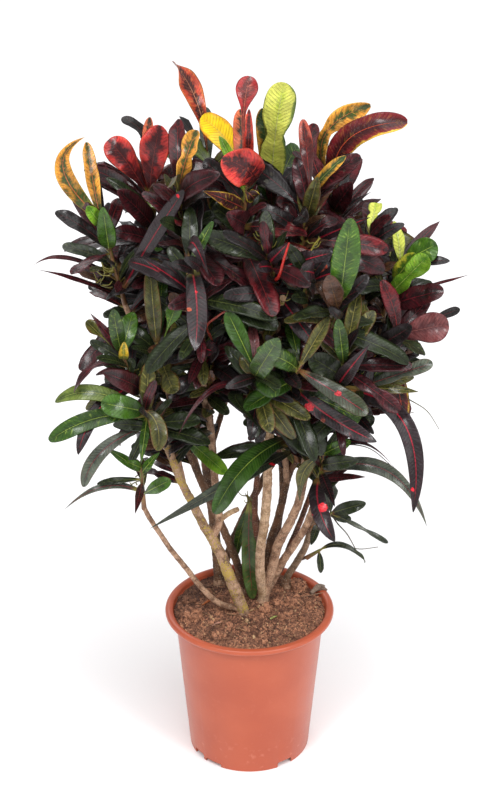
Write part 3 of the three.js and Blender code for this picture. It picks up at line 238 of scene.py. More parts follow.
SHOOTS = {
    "crown_west": ((124, 303, -10), (99, 214, -25), 7, 90, 15, "crown"),
    "crown_northwest": ((158, 264, 20), (150, 192, 25), 12, 105, 24, "crown"),
    "crown_north_front": ((188, 262, -55), (178, 192, -75), 12, 100, 22, "crown"),
    "crown_north_back": ((208, 250, 30), (207, 172, 45), 12, 105, 22, "lime"),
    "crown_centre_front": ((240, 262, -60), (246, 186, -80), 12, 100, 24, "coral"),
    "crown_centre_back": ((270, 262, 20), (272, 190, 40), 12, 105, 24, "lime"),
    "crown_northeast_front": ((300, 268, -50), (310, 196, -70), 12, 100, 22, "crown"),
    "crown_northeast_back": ((326, 262, 30), (337, 192, 40), 12, 105, 24, "crown"),
    "crown_east": ((362, 296, -20), (371, 228, -35), 12, 95, 20, "crown"),
    "east_high": ((384, 312, -10), (400, 262, -25), 9, 90, 21, "green"),
    "east_middle": ((372, 350, -30), (402, 330, -55), 11, 100, 21, "coral"),
    "east_low": ((347, 402, -46), (368, 384, -85), 9, 95, 18, "maroon"),
    "right_middle": ((338, 391, -71), (347, 346, -122), 9, 90, 18, "green"),
    "right_front": ((326, 344, -85), (340, 300, -115), 12, 95, 21, "dark_green"),
    "right_low_front": ((280, 400, -60), (300, 366, -130), 11, 95, 21, "green"),
    "right_high": ((306, 318, -80), (305, 274, -125), 12, 95, 20, "maroon"),
    "low_right": ((316, 498, -25), (323, 452, -60), 7, 80, 16, "maroon"),
    "low_right_outer": ((315, 526, -15), (333, 512, -28), 3, 50, 12, "dark_green"),
    "low_right_twig": ((309, 557, 60), (320, 550, 57), 3, 30, 8, "dark_green"),
    "left_middle": ((143, 398, -45), (122, 354, -85), 9, 80, 17, "green"),
    "left_low": ((159, 438, -54), (144, 410, -95), 6, 85, 19, "dark_green"),
    "low_left": ((144, 506, -62), (141, 468, -75), 4, 50, 11, "green"),
    "left_front": ((202, 330, -90), (190, 262, -125), 12, 100, 20, "maroon"),
    "left_inner": ((168, 386, -20), (157, 345, -60), 11, 90, 19, "green"),
    "left_shade": ((186, 443, 38), (192, 396, 30), 9, 92, 18, "maroon"),
    "middle_shade": ((207, 402, -6), (214, 352, -60), 12, 95, 19, "maroon"),
    "centre_high": ((276, 302, -70), (268, 252, -125), 12, 98, 20, "maroon"),
    "centre_front": ((258, 402, -45), (256, 372, -140), 12, 88, 20, "green"),
    "centre_low": ((298, 459, 22), (291, 434, -12), 7, 85, 18, "dark_green"),
    "low_centre": ((253, 504, 42), (248, 497, 36), 3, 28, 7, "dark_green"),
}

FAR_SHOOTS = {
    "far_left": ((-141, 130, 611), (-172, 132, 668), 10, 105, 21, "maroon"),
    "far_left_high": ((-85, 125, 691), (-92, 112, 770), 10, 110, 22, "crown"),
    "far_middle": ((5, 165, 591), (10, 172, 665), 10, 105, 21, "dark_green"),
    "far_middle_high": ((8, 105, 701), (12, 92, 775), 10, 105, 22, "crown"),
    "far_right": ((155, 120, 601), (188, 120, 655), 10, 105, 21, "green"),
    "far_right_high": ((100, 115, 691), (108, 104, 770), 10, 110, 22, "crown"),
    "far_low_right": ((82, 192, 541), (92, 212, 600), 9, 100, 20, "maroon"),
    "far_low_left": ((-90, 187, 581), (-102, 208, 636), 9, 100, 20, "dark_green"),
}

# Leaves that stand out in the photograph, by shoot: place along the shoot, tip in pixels, how far the tip
# lies behind the shoot's, width, outline, how far the upper face turns to the viewer, arch, the pixel
# under the middle of a midrib that bends sideways, and the look.
LEAVES = {
    "crown_west": [
        (0.95, (85, 137), -5, 23, "ribbon", 0.8, 0.05, (64, 168), "flame"),
        (0.9, (86, 142), 10, 18, "blunt", 0.6, 0.05, None, "flame"),
        (0.8, (96, 166), -5, 12, "oval", 0.5, 0.1, None, "black"),
        (0.6, (55, 212), 5, 19, "blunt", 0.5, 0.1, None, "black"),
        (0.85, (87, 206), -30, 17, "spoon", 0.9, 0.1, None, "fresh"),
        (0.6, (103, 207), -28, 23, "oval", 0.9, 0.1, None, "leek"),
        (0.45, (62, 246), -15, 18, "blunt", 0.7, 0.1, None, "slate"),
        (0.25, (34, 265), -5, 9, "ribbon", 0.4, 0.05, (68, 261), "maroon"),
        (0.05, (39, 270), -15, 9, "ribbon", 0.4, 0.05, (80, 284), "maroon"),
        (0.55, (72, 197), 0, 15, "oval", 0.4, 0.1, None, "maroon"),
        (0.12, (184, 190), -80, 21, "blunt", 0.8, 0.04, None, "spot"),
    ],
    "crown_northwest": [
        (0.9, (108, 140), -20, 35, "spoon", 0.9, 0.1, (126, 162), "coral"),
        (0.95, (121, 119), 10, 18, "blunt", 0.4, 0.05, (144, 142), "black"),
        (1, (150, 117), 5, 17, "leafy", 0.6, 0.05, None, "salmon"),
        (0.95, (160, 125), -25, 38, "spoon", 0.8, 0.12, None, "coral"),
        (0.6, (106, 178), -15, 16, "oval", 0.6, 0.1, None, "dark_green"),
        (0.5, (117, 190), -50, 28, "oval", 0.8, 0.1, None, "maroon"),
        (0.25, (112, 232), -45, 24, "oval", 0.6, 0.15, None, "maroon"),
    ],
    "crown_north_front": [
        (0.95, (178, 119), 5, 23, "leafy", 0.6, 0.1, None, "wine"),
        (0.9, (170, 187), -45, 19, "spoon", 0.8, 0.1, (168, 172), "olive"),
        (1, (197, 130), 10, 26, "waist", 0.6, 0.1, None, "flame"),
    ],
    "crown_north_back": [
        (0.95, (172, 61), 0, 34, "canoe", 0.7, 0.1, (195, 112), "stripe"),
        (1, (206, 107), 15, 18, "blunt", 0.6, 0.1, None, "slate"),
    ],
    "crown_centre_front": [
        (0.95, (222, 158), -25, 46, "spoon", 0.9, 0.15, (244, 166), "coral"),
        (1, (250, 76), 25, 27, "club", 0.7, 0.05, (243, 124), "club"),
        (1, (249, 109), 20, 13, "oval", 0.8, 0.1, None, "ember"),
        (1, (201, 117), 10, 33, "spoon", 0.95, 0.05, (230, 146), "yellow"),
        (0.9, (219, 136), -5, 14, "oval", 0.8, 0.1, None, "fresh"),
        (1, (240, 109), 5, 25, "oval", 0.8, 0.1, None, "salmon"),
        (0.95, (254, 199), -50, 18, "oval", 0.9, 0.25, None, "cup"),
        (0.5, (226, 214), -55, 30, "oval", 0.9, 0.15, None, "maroon"),
        (0.7, (203, 191), -60, 20, "strap", 0.9, 0.1, None, "edged"),
    ],
    "crown_centre_back": [
        (1, (257, 116), -20, 10, "strap", 0.6, 0.1, None, "maroon"),
        (0.95, (262, 108), -35, 23.9, "blunt", 0.8, 0.05, None, "mottle"),
        (0.92, (284, 82), -45, 40, "waist", 0.95, 0.06, (275, 138), "citrus"),
        (0.8, (271, 180), -60, 14, "spoon", 0.7, 0.1, None, "maroon"),
    ],
    "crown_northeast_front": [
        (1, (303, 119), 20, 17, "leafy", 0.6, 0.05, None, "tipped"),
        (1, (346, 156), 0, 16, "oval", 0.7, 0.1, None, "mottle"),
        (0.7, (318, 177), -35, 20, "oval", 0.9, 0.1, None, "olive"),
        (0.8, (296, 157), -10, 24, "oval", 0.7, 0.1, None, "maroon"),
        (0.3, (371, 217), -60, 14, "strap", 0.8, 0.05, None, "redrib"),
    ],
    "crown_northeast_back": [
        (0.95, (314, 123), -25, 23.9, "waist", 0.7, 0.1, (309, 160), "wine"),
        (1, (371, 105), 0, 26, "waist", 0.8, 0.05, (325, 138), "flame"),
        (0.9, (408, 122), -15, 34, "blunt", 0.8, 0.1, (352, 140), "sunset"),
        (0.7, (353, 183), -50, 27, "oval", 0.8, 0.1, None, "maroon"),
        (0.55, (374, 178), -10, 13, "oval", 0.5, 0.1, None, "maroon"),
        (0.45, (371, 192), -20, 12, "strap", 0.5, 0.1, None, "black"),
    ],
    "crown_east": [
        (0.9, (368, 203), 0, 20, "oval", 0.6, 0.1, None, "maroon"),
        (0.95, (376, 203), -25, 18, "waist", 0.9, 0.05, None, "lime"),
        (0.85, (391, 216), -15, 17, "oval", 0.6, 0.1, None, "maroon"),
    ],
    "east_high": [
        (1, (394, 221), 10, 16, "oval", 0.7, 0.15, None, "lime"),
        (1, (440, 221), 15, 16, "strap", 0.6, 0.05, None, "maroon"),
        (0.95, (437, 244), -15, 33, "spoon", 0.9, 0.1, None, "leek"),
        (0.6, (415, 253), -50, 23, "oval", 0.9, 0.05, None, "spotted"),
        (0.35, (428, 256), -35, 27, "waist", 0.95, 0.05, None, "fresh"),
        (0.8, (450, 261), 15, 15, "oval", 0.4, 0.1, None, "black"),
        (0.3, (468, 275), -5, 6, "ribbon", 0.3, 0.05, (440, 286), "maroon"),
        (0.1, (444, 290), -45, 29, "blunt", 0.9, 0.12, None, "maroon"),
    ],
    "east_middle": [
        (0.9, (460, 309), 0, 12, "waist", 0.6, 0.05, None, "black"),
        (0.75, (449, 324), -40, 39, "spoon", 0.95, 0.12, None, "pink"),
        (0.1, (412, 326), -50, 23, "blunt", 0.9, 0.12, None, "black"),
    ],
    "east_low": [
        (0.95, (433, 363), -20, 19, "waist", 0.9, 0.08, None, "ash"),
        (0.8, (419, 392), -15, 14, "strap", 0.7, 0.1, None, "olive"),
        (0.7, (414, 377), -10, 16, "oval", 0.7, 0.1, None, "olive"),
        (0.9, (394, 350), -35, 17, "blunt", 0.95, 0.1, None, "green"),
    ],
    "right_middle": [
        (0.9, (358, 292), -10, 19, "leafy", 0.95, 0.08, None, "olive"),
        (0.6, (338, 319), -25, 18, "leafy", 0.95, 0.08, None, "green"),
        (0.15, (370, 344), -45, 22, "strap", 0.9, 0.12, None, "redrib"),
        (0.35, (309, 356), -45, 37, "oval", 0.95, 0.15, None, "dark_green"),
        (0.05, (413, 513), -60, 23.5, "sword", 0.95, 0.05, (404, 424), "redrib"),
    ],
    "right_front": [
        (0.95, (350, 218), -35, 34, "leafy", 0.95, 0.1, None, "leek"),
        (0.8, (328, 275), -35, 25, "spoon", 0.9, 0.1, None, "brown"),
    ],
    "right_low_front": [
        (1, (329, 317), -10, 18, "leafy", 0.9, 0.08, None, "olive"),
        (0.9, (368, 414), -35, 24, "blunt", 0.95, 0.1, (336, 393), "laced"),
        (0.5, (377, 442), -35, 23.5, "sword", 0.95, 0.08, (330, 417), "redrib"),
        (1, (290, 322), -15, 19, "spoon", 0.9, 0.1, None, "green"),
    ],
    "low_right": [
        (0.6, (427, 527), -30, 20, "ribbon", 0.7, 0.05, (386, 472), "ash"),
        (0.95, (351, 441), -20, 17, "oval", 0.9, 0.1, None, "leek"),
        (0.7, (359, 460), -30, 20, "oval", 0.9, 0.12, None, "dark_green"),
        (0.9, (398, 473), -5, 10, "tail", 0.6, 0.05, (362, 444), "black"),
        (0.4, (366, 477), -20, 12, "strap", 0.7, 0.08, None, "maroon"),
        (0.45, (335, 542), -40, 23, "sword", 0.9, 0.05, (319, 508), "spot"),
        (0.6, (335, 507), -55, 14, "strap", 0.9, 0.05, None, "black"),
        (0.9, (300, 502), -50, 19, "strap", 0.9, 0.05, (305, 470), "olive"),
    ],
    "low_right_outer": [
        (0.9, (366, 503), -20, 18, "oval", 0.9, 0.1, None, "dark_green"),
        (0.9, (388, 543), -10, 8, "waist", 0.6, 0.05, None, "slate"),
        (0.8, (351, 520), -20, 13, "oval", 0.8, 0.1, None, "dark_green"),
        (0.1, (311, 545), -15, 11, "oval", 0.8, 0.1, None, "dark_green"),
    ],
    "low_right_twig": [
        (1, (366, 562), -15, 9, "strap", 0.7, 0.05, (343, 546), "slate"),
        (0.9, (321, 573), -10, 10, "oval", 0.9, 0.05, None, "dark_green"),
    ],
    "left_middle": [
        (0.95, (90, 313), 10, 12, "strap", 0.6, 0.1, None, "maroon"),
        (0.9, (86, 321), -10, 17, "club", 0.9, 0.05, None, "olive"),
        (1, (113, 309), 0, 19, "blunt", 0.9, 0.08, None, "green"),
        (1, (133, 312), -25, 23, "oval", 0.9, 0.1, None, "leek"),
        (0.85, (90, 341), -15, 13, "blunt", 0.8, 0.1, None, "dark_green"),
        (0.9, (124, 342), -45, 13, "oval", 0.9, 0.1, None, "brass"),
        (0.7, (74, 393), -25, 11, "waist", 0.5, 0.05, (97, 366), "maroon"),
        (0.15, (103, 372), -35, 27, "oval", 0.8, 0.12, None, "maroon"),
        (0.3, (78, 455), -50, 19, "sword", 0.9, 0.05, (98, 411), "redrib"),
    ],
    "left_low": [
        (0.9, (55, 402), 15, 21, "oval", 0.8, 0.1, (96, 394), "moss"),
        (0.95, (101, 403), -35, 31, "blunt", 0.95, 0.12, None, "leek"),
        (0.8, (49, 441), -15, 24, "blunt", 0.9, 0.1, (96, 419), "green"),
        (0.5, (84, 487), -25, 19, "blunt", 0.8, 0.1, (104, 451), "ash"),
        (1, (158, 451), -30, 23, "leafy", 0.9, 0.05, (157, 425), "olive"),
        (0.8, (141, 464), -50, 12, "strap", 0.9, 0.05, None, "green"),
        (0.6, (130, 463), -25, 12, "blunt", 0.8, 0.05, None, "dark_green"),
    ],
    "low_left": [
        (0.9, (106, 448), -10, 13, "strap", 0.8, 0.08, None, "leek"),
        (1, (124, 461), -25, 14, "strap", 0.9, 0.08, None, "leek"),
        (0.85, (160, 452), -10, 13, "strap", 0.8, 0.08, None, "leek"),
        (1, (146, 461), -20, 12, "oval", 0.9, 0.08, None, "olive"),
        (0.35, (64, 510), -5, 10, "ribbon", 0.6, 0.05, (104, 488), "ash"),
        (0.3, (171, 480), -30, 20, "spoon", 0.9, 0.08, None, "leek"),
        (0.6, (135, 514), -30, 11, "strap", 0.8, 0.05, None, "maroon"),
        (0.7, (97, 484), -10, 10, "blunt", 0.6, 0.08, None, "dark_green"),
    ],
    "left_front": [
        (0.5, (143, 259), -20, 14, "strap", 0.8, 0.1, None, "redrib"),
        (0.95, (195, 351), -60, 26, "sword", 0.95, 0.05, (197, 308), "spot"),
        (1, (209, 276), -35, 18, "strap", 0.8, 0.05, (194, 244), "spot"),
        (1, (190, 207), 10, 21, "oval", 0.9, 0.1, None, "dark_green"),
        (0.95, (213, 221), 5, 13, "oval", 0.9, 0.1, None, "green"),
    ],
    "left_inner": [
        (0.9, (165, 318), -25, 23, "oval", 0.8, 0.12, None, "brown"),
        (0.8, (178, 300), -35, 20, "club", 0.95, 0.08, None, "leek"),
        (1, (150, 266), 0, 22, "oval", 0.8, 0.1, None, "olive"),
        (1, (163, 276), 10, 18, "blunt", 0.9, 0.1, None, "green"),
    ],
    "centre_high": [
        (0.8, (289, 242), -35, 16, "strap", 0.95, 0.1, None, "redrib"),
        (0.2, (243, 309), -45, 12, "oval", 0.7, 0.1, None, "coral"),
    ],
    "centre_front": [
        (1, (227, 311), 0, 23, "spoon", 0.9, 0.1, None, "green"),
        (1, (247, 316), -10, 19, "blunt", 0.9, 0.1, None, "green"),
        (0.9, (279, 338), -45, 27, "blunt", 0.95, 0.1, None, "green"),
        (0.85, (241, 355), -40, 18, "oval", 0.95, 0.08, None, "olive"),
        (1, (252, 321), 10, 14, "oval", 0.8, 0.1, None, "pink"),
        (0.7, (225, 346), -35, 19, "oval", 0.8, 0.12, None, "dark_green"),
        (0.3, (178, 436), -25, 9, "ribbon", 0.5, 0.03, (214, 389), "maroon"),
        (0.12, (261, 429), -5, 20, "strap", 0.8, 0.12, (236, 404), "dark_green"),
    ],
    "middle_shade": [
        (0.1, (229, 414), -20, 16, "blunt", 0.9, 0.1, None, "dark_green"),
    ],
    "centre_low": [
        (0.9, (214, 514), -85, 31, "blunt", 0.95, 0.08, (242, 470), "green"),
        (0.35, (149, 529), -80, 20, "strap", 0.9, 0.3, (234, 484), "slate"),
        (0.6, (217, 456), -40, 18, "blunt", 0.8, 0.1, None, "dark_green"),
    ],
    "left_shade": [
        (0.05, (227, 474), -60, 21, "blunt", 0.9, 0.06, None, "fresh"),
    ],
    "low_centre": [
        (0.6, (253, 599), -20, 23, "blunt", 0.95, 0.02, (249, 548), "riband"),
        (0.3, (236, 556), 0, 14, "oval", 0.7, 0.08, None, "green"),
    ],
}

# Blades that the photograph shows twisted: the tip's pixel, the turn from foot to tip in radians, and the
# share of the length at which the blade isn't turned.
TWISTED = {
    (172, 61): (-3.4, 0.62), (197, 130): (2.6, 0.7), (371, 105): (-1.5, 0.6), (85, 137): (1.6, 0.5),
    (86, 142): (-1.8, 0.5), (303, 119): (1.6, 0.7), (408, 122): (0.9, 0.4), (178, 119): (1.8, 0.6),
    (149, 529): (1.4, 0.6), (74, 393): (-1.6, 0.5), (84, 487): (0.9, 0.5), (300, 502): (-1.2, 0.6),
}

# Round red blotches that the photograph shows on leaves: pixel, and radius in pixels.
DOTS = [
    (177, 197, 2.4), (271, 466, 3), (182, 513, 1.8), (309, 407, 4.6), (338, 394, 3.2), (323, 508, 5),
    (413, 490, 2), (196, 292, 1.8), (197, 323, 2.2),
]

# Bare yellow stalks in tufts: the pixel, mm behind the pot's axis and how many.
TUFTS = [
    ((109, 272), -34, 9), ((101, 283), -30, 6), ((268, 251), -122, 8), ((303, 264), -118, 6),
    ((307, 283), -122, 9), ((262, 240), -118, 5), ((313, 246), -112, 4), ((248, 499), 34, 8),
    ((281, 299), -128, 5), ((166, 277), -52, 5), ((249, 404), -70, 6), ((354, 372), -92, 6),
    ((140, 372), -70, 6), ((136, 480), -66, 5), ((330, 452), -62, 5),
]

# Thin tendrils and cut twigs: route in pixels with mm behind the pot's axis, radius at both ends, colour.
TENDRILS = [
    ([(350, 401, -50), (367, 409, -58), (390, 407, -66), (414, 413, -70)], (1.1, 0.5), (96, 84, 66)),
    ([(369, 386, -84), (396, 392, -78), (410, 400, -76), (427, 411, -78), (439, 429, -82)], (1.2, 0.4),
     (92, 88, 62)),
    ([(323, 452, -58), (340, 446, -54), (356, 445, -52), (374, 451, -52), (398, 472, -60)], (1.2, 0.4),
     (66, 56, 50)),
    ([(331, 514, -28), (338, 524, -30), (347, 534, -34), (355, 548, -38)], (1.1, 0.6), (70, 62, 44)),
    ([(343, 546, 50), (360, 549, 44), (378, 547, 38)], (0.8, 0.5), (86, 80, 58)),
    ([(352, 549, 47), (362, 555, 44), (365, 563, 42)], (1.6, 0.6), (70, 84, 50)),
    ([(277, 303, -71), (281, 303, -110), (283, 298, -128)], (4, 4.4), (150, 120, 90)),
    ([(273, 282, -92), (279, 276, -150), (284, 259, -166), (289, 243, -170)], (2.4, 1.4), (196, 42, 34)),
    ([(212, 340, -75), (207, 326, -110), (218, 316, -130), (230, 308, -134)], (1.8, 1.2), (156, 64, 52)),
    ([(306, 266, -124), (313, 247, -125), (320, 238, -126)], (1.5, 0.9), (150, 140, 56)),
    ([(337, 194, 38), (336, 180, 10), (345, 169, -10), (355, 164, -20)], (2.2, 0.8), (120, 104, 92)),
    ([(141, 402, -50), (124, 415, -66), (120, 446, -72)], (1, 0.8), (96, 56, 46)),
]

# What lies on the soil: the pixels that it runs between, radius and colour. Then clods: pixel, radius, rise.
LITTER = [
    ((202, 605), (211, 600), 1.7, (198, 108, 56)),
    ((212, 626), (221, 622), 1.5, (208, 152, 130)),
    ((270, 619), (277, 616), 1.5, (172, 178, 100)),
    ((302, 597), (327, 592), 0.7, (172, 136, 108)),
    ((311, 593), (324, 586), 5, (140, 118, 102)),
    ((317, 590), (327, 590), 3.4, (120, 98, 86)),
    ((247, 612), (256, 609), 1.2, (190, 150, 108)),
    ((200, 590), (212, 586), 1.1, (92, 62, 48)),
    ((290, 600), (299, 606), 1.0, (96, 64, 50)),
    ((236, 628), (246, 631), 1.1, (186, 140, 104)),
]
CLODS = [
    ((191, 617), 15, 14), ((299, 588), 12, 13), ((266, 610), 9, 9), ((228, 627), 9, 7),
    ((188, 600), 9, 8), ((284, 618), 9, 8), ((311, 606), 8, 8), ((207, 594), 7, 6), ((246, 630), 7, 6),
    ((277, 603), 8, 8), ((292, 604), 7, 7), ((216, 636), 8, 6), ((262, 636), 7, 5), ((305, 620), 8, 6),
    ((200, 636), 7, 5),
]

# Crumbs: name, how many lie on a square metre, least and most radius in metres, and seed.
CRUMBS = [("soil_crumbs", 190000, 0.0005, 0.0024, 11), ("soil_lumps", 9000, 0.0018, 0.0048, 23)]

# ---- finishes' colours, as red, green and blue from 0 to 255 ----


def linear(colour):
    """A colour as the shader takes it."""
    share = np.asarray(colour, float) / 255
    return np.where(share <= 0.04045, share / 12.92, ((share + 0.055) / 1.055) ** 2.4)


# A leaf's outer colour, the colour of its middle and foot, its ribs and its margin. Then how far the
# middle's colour reaches to the side and from the foot, how strongly the side veins show, how mottled
# it is, how strong the margin and the round blotches are.
LOOKS = {
    "flame": ((236, 158, 58), (66, 80, 38), (206, 118, 72), (244, 192, 84), 0.42, 0.35, 0.4, 1, 0.6, 0),
    "black": ((36, 30, 32), (26, 26, 24), (96, 32, 42), (46, 30, 32), 0.4, 0.3, 0.1, 0.7, 0.3, 0),
    "lime": ((226, 232, 104), (176, 198, 64), (236, 236, 150), (150, 172, 58), 0.14, 0.2, 0.15, 0.7, 0.5, 0),
    "citrus": (
        (228, 230, 106), (184, 200, 68), (236, 236, 150), (82, 112, 48), 0.14, 0.2, 0.15, 0.7, -0.9, 0,
    ),
    "moss": ((116, 134, 56), (72, 94, 36), (160, 170, 86), (90, 106, 44), 0.3, 0.3, 0.3, 0.8, 0.4, 0),
    "olive": ((92, 92, 42), (56, 58, 28), (160, 150, 76), (108, 58, 38), 0.4, 0.3, 0.4, 0.9, 0.6, 0),
    "maroon": ((70, 25, 30), (36, 20, 22), (124, 34, 44), (54, 24, 28), 0.35, 0.35, 0.25, 0.9, 0.3, 0),
    "wine": ((108, 28, 34), (48, 20, 24), (156, 46, 48), (84, 28, 30), 0.42, 0.5, 0.4, 1, 0.4, 0),
    "spot": ((42, 30, 34), (30, 27, 27), (146, 28, 46), (48, 30, 32), 0.3, 0.3, 0.05, 0.5, 0.2, 0.6),
    "coral": ((208, 58, 54), (66, 22, 26), (136, 50, 46), (226, 88, 60), 0.5, 0.55, 0.6, 1, 0.4, 0),
    "salmon": ((236, 122, 78), (44, 46, 34), (206, 108, 78), (226, 98, 66), 0.42, 0.42, 0.7, 1, 0.4, 0),
    "tipped": ((196, 88, 66), (70, 28, 28), (150, 50, 44), (180, 66, 52), 0.3, 0.75, 0.5, 1, 0.3, 0),
    "dark_green": ((42, 53, 28), (28, 34, 21), (92, 102, 50), (38, 44, 27), 0.3, 0.3, 0.3, 0.9, 0.3, 0),
    "riband": ((80, 104, 50), (60, 80, 38), (146, 62, 56), (72, 92, 44), 0.3, 0.3, 0.3, 0.9, 0.3, 0),
    "pink": ((116, 62, 62), (84, 44, 46), (140, 82, 78), (98, 42, 46), 0.3, 0.3, 0.4, 0.8, 0.5, 0),
    "stripe": ((198, 70, 46), (70, 32, 30), (224, 150, 118), (226, 140, 66), 0.42, 0.25, 0.8, 1, 0.5, 0),
    "green": ((50, 80, 25), (34, 58, 19), (142, 164, 66), (46, 70, 24), 0.25, 0.3, 0.4, 1, 0.3, 0),
    "leek": ((66, 103, 28), (44, 74, 20), (148, 174, 70), (54, 86, 26), 0.25, 0.3, 0.4, 1, 0.3, 0),
    "fresh": ((124, 168, 46), (84, 136, 36), (184, 208, 94), (104, 148, 44), 0.25, 0.3, 0.3, 0.6, 0.2, 0),
    "brass": ((206, 170, 44), (98, 116, 44), (200, 180, 90), (170, 130, 40), 0.3, 0.45, 0.3, 0.8, 0.4, 0),
    "yellow": ((255, 214, 24), (252, 198, 24), (252, 224, 84), (240, 150, 34), 0.2, 0.15, 0.2, 0.3, 0.7, 0),
    "cup": ((54, 82, 30), (62, 26, 28), (196, 110, 80), (232, 200, 64), 0.5, 0.6, 0.6, 0.8, 1, 0),
    "edged": ((82, 32, 32), (40, 26, 24), (176, 66, 50), (214, 172, 60), 0.4, 0.35, 0.5, 1, 0.7, 0),
    "club": ((170, 44, 46), (96, 38, 36), (206, 110, 90), (150, 38, 40), 0.45, 0.3, 0.8, 1, 0.5, 0),
    "ember": ((190, 56, 40), (70, 26, 26), (146, 50, 42), (176, 50, 40), 0.5, 0.4, 0.5, 1, 0.4, 0),
    "sunset": ((124, 32, 38), (66, 24, 28), (228, 92, 58), (240, 190, 62), 0.5, 0.3, 0.3, 0.25, -1, 0),
    "mottle": ((210, 150, 56), (56, 80, 46), (150, 156, 74), (222, 160, 56), 0.66, 0.3, 0.5, 1, 0.7, 0),
    "redrib": ((42, 31, 35), (30, 28, 28), (172, 30, 52), (46, 30, 33), 0.3, 0.3, 0.05, 0.4, 0.2, 0.2),
    "spotted": ((222, 216, 66), (84, 130, 40), (204, 214, 94), (96, 134, 44), 0.5, 0.3, 0.3, 1, 0.4, 0),
    "brown": ((88, 56, 38), (56, 38, 28), (132, 92, 56), (72, 44, 32), 0.3, 0.3, 0.4, 0.9, 0.4, 0),
    "laced": ((58, 67, 45), (44, 50, 36), (164, 42, 56), (88, 62, 50), 0.3, 0.3, 0.3, 0.9, 0.3, 0),
    "ash": ((88, 96, 82), (58, 64, 56), (130, 66, 66), (104, 84, 72), 0.3, 0.3, 0.3, 0.8, 0.4, 0),
    "slate": ((56, 64, 50), (38, 43, 35), (96, 98, 70), (48, 54, 42), 0.3, 0.3, 0.3, 0.9, 0.3, 0),
}

# Looks that the leaves of a shoot take where the photograph doesn't show them.
MIXES = {
    "maroon": "maroon maroon black black black dark_green dark_green redrib",
    "dark_green": "dark_green dark_green dark_green green black maroon olive slate",
    "green": "green green dark_green dark_green olive black maroon olive",
    "crown": "maroon maroon maroon wine wine black brown olive maroon tipped",
    "coral": "wine wine maroon maroon tipped brown black edged",
    "lime": "green olive maroon maroon wine dark_green brown moss",
    # inner: darker looks for leaves deep in the canopy, partly the croton's own dark leaves and partly
    # painted shade
    "inner": "maroon maroon black black black black dark_green dark_green dark_green olive brown",
}

# Bark: its ground and second colour, ring scars, speckle and lichen. The shade bark is tan bark darkened with
# painted shade.
BARKS = {
    "tan": ((186, 148, 120), (122, 88, 66), 0.4, 0.5, 0),
    "lichen": ((180, 144, 116), (118, 88, 64), 0.4, 0.5, 1),
    "stub": ((200, 168, 130), (150, 116, 84), 0.4, 0.5, 0),
    # painted shade: the tan bark darkened, for stems that stand behind others
    "shade": ((116, 82, 58), (72, 50, 36), 0.4, 0.4, 0),
    "pale": ((206, 172, 142), (146, 112, 84), 0.4, 0.6, 0.15),
    "grey": ((152, 124, 100), (98, 74, 56), 0.4, 0.5, 0.1),
    "russet": ((118, 70, 50), (72, 42, 32), 0.3, 0.4, 0),
    "twig": ((124, 88, 62), (84, 54, 40), 0.3, 0.4, 0),
}
YOUNG_STEM = ((118, 122, 62), (132, 92, 62))

# ---- leaves, worked out as the solids' are ----


def unit(way):
    return way / np.linalg.norm(way)


def picked(choices, share):
    """The one of some choices that lies a share of the way along them."""
    return choices[int(share * len(choices))]


def draws(seed):
    """Draws between 0 and 1 that are the same on every run."""
    most = 0xFFFFFFFF
    state = seed & most
    while True:
        state = (state + 0x6D2B79F5) & most
        word = ((state ^ state >> 15) * (state | 1)) & most
        word ^= (word + (word ^ word >> 7) * (word | 61)) & most
        yield (word ^ word >> 14) / 2**32


def outline(kind, t):
    """Half width at share t of the length, as a share of the widest."""
    widest, foot, swell, fall, waist = KINDS[kind][:5]
    rising = foot + (1 - foot) * np.sin(np.clip(t / widest, 0, 1) * math.pi / 2) ** swell
    past = np.clip((t - widest) / (1 - widest), 0, 1)
    share = np.where(t < widest, rising, (1 - past ** fall[0]) ** fall[1])
    if waist:
        share = share * (1 - waist[2] * np.exp(-(((t - waist[0]) / waist[1]) ** 2)))
    return share


def leaf_between(shoot, foot, tip, wide, kind, facing, arch, over, phase, twist=None):
    """A leaf of a shoot from foot to tip, bent over a pixel or by its arch."""
    chord = unit(tip - foot)
    inner, viewer = (unit(way - chord * (way @ chord)) for way in (shoot.axis, EYE - foot))
    face = unit(inner * (1 - abs(facing)) + viewer * facing)
    straight = (foot + tip) / 2
    middle = seen(over, straight[1]) if over else straight
    middle = middle + face * arch * np.linalg.norm(tip - foot)
    last = KINDS[kind][5][wide < BLADE.wide]
    return SimpleNamespace(
        foot=foot, bend=2 * middle - straight, tip=tip, face=face, kind=kind, half=wide / 2, phase=phase,
        last=last, twist=twist,
    )


def frame_at(leaf, t):
    """The midrib's points and the blade's sideways and upward directions at shares t of the length."""
    t = np.atleast_1d(t)[:, None]
    point = leaf.foot * (1 - t) ** 2 + leaf.bend * 2 * t * (1 - t) + leaf.tip * t**2
    along = (leaf.bend - leaf.foot) * (1 - t) + (leaf.tip - leaf.bend) * t
    along = along / np.linalg.norm(along, axis=1, keepdims=True)
    side = np.cross(along, leaf.face)
    side = side / np.linalg.norm(side, axis=1, keepdims=True)
    return point, side, np.cross(side, along), along


def read_leaf(shoot, row, phase, shift):
    """A leaf that the photograph shows, with its tip moved "shift" mm in depth."""
    at, pixel, deep, wide, kind, facing, arch, over, _ = row
    foot = shoot.foot + (shoot.tip - shoot.foot) * at
    tip = seen(pixel, shoot.tip[1] + deep + shift)
    return leaf_between(shoot, foot, tip, wide, kind, facing, arch, over, phase, TWISTED.get(pixel))


def tip_from(foot, axis, bearing, lift, droop, long):
    """A leaf's tip: "bearing" round the axis from the side, lifted up along it and drooping."""
    aside = unit(np.cross(axis, (0.2, 1, 0)))
    way = aside * math.cos(bearing) + np.cross(axis, aside) * math.sin(bearing)
    way = way * math.cos(lift) + axis * math.sin(lift) - np.array([0, 0, droop])
    return foot + unit(way) * long


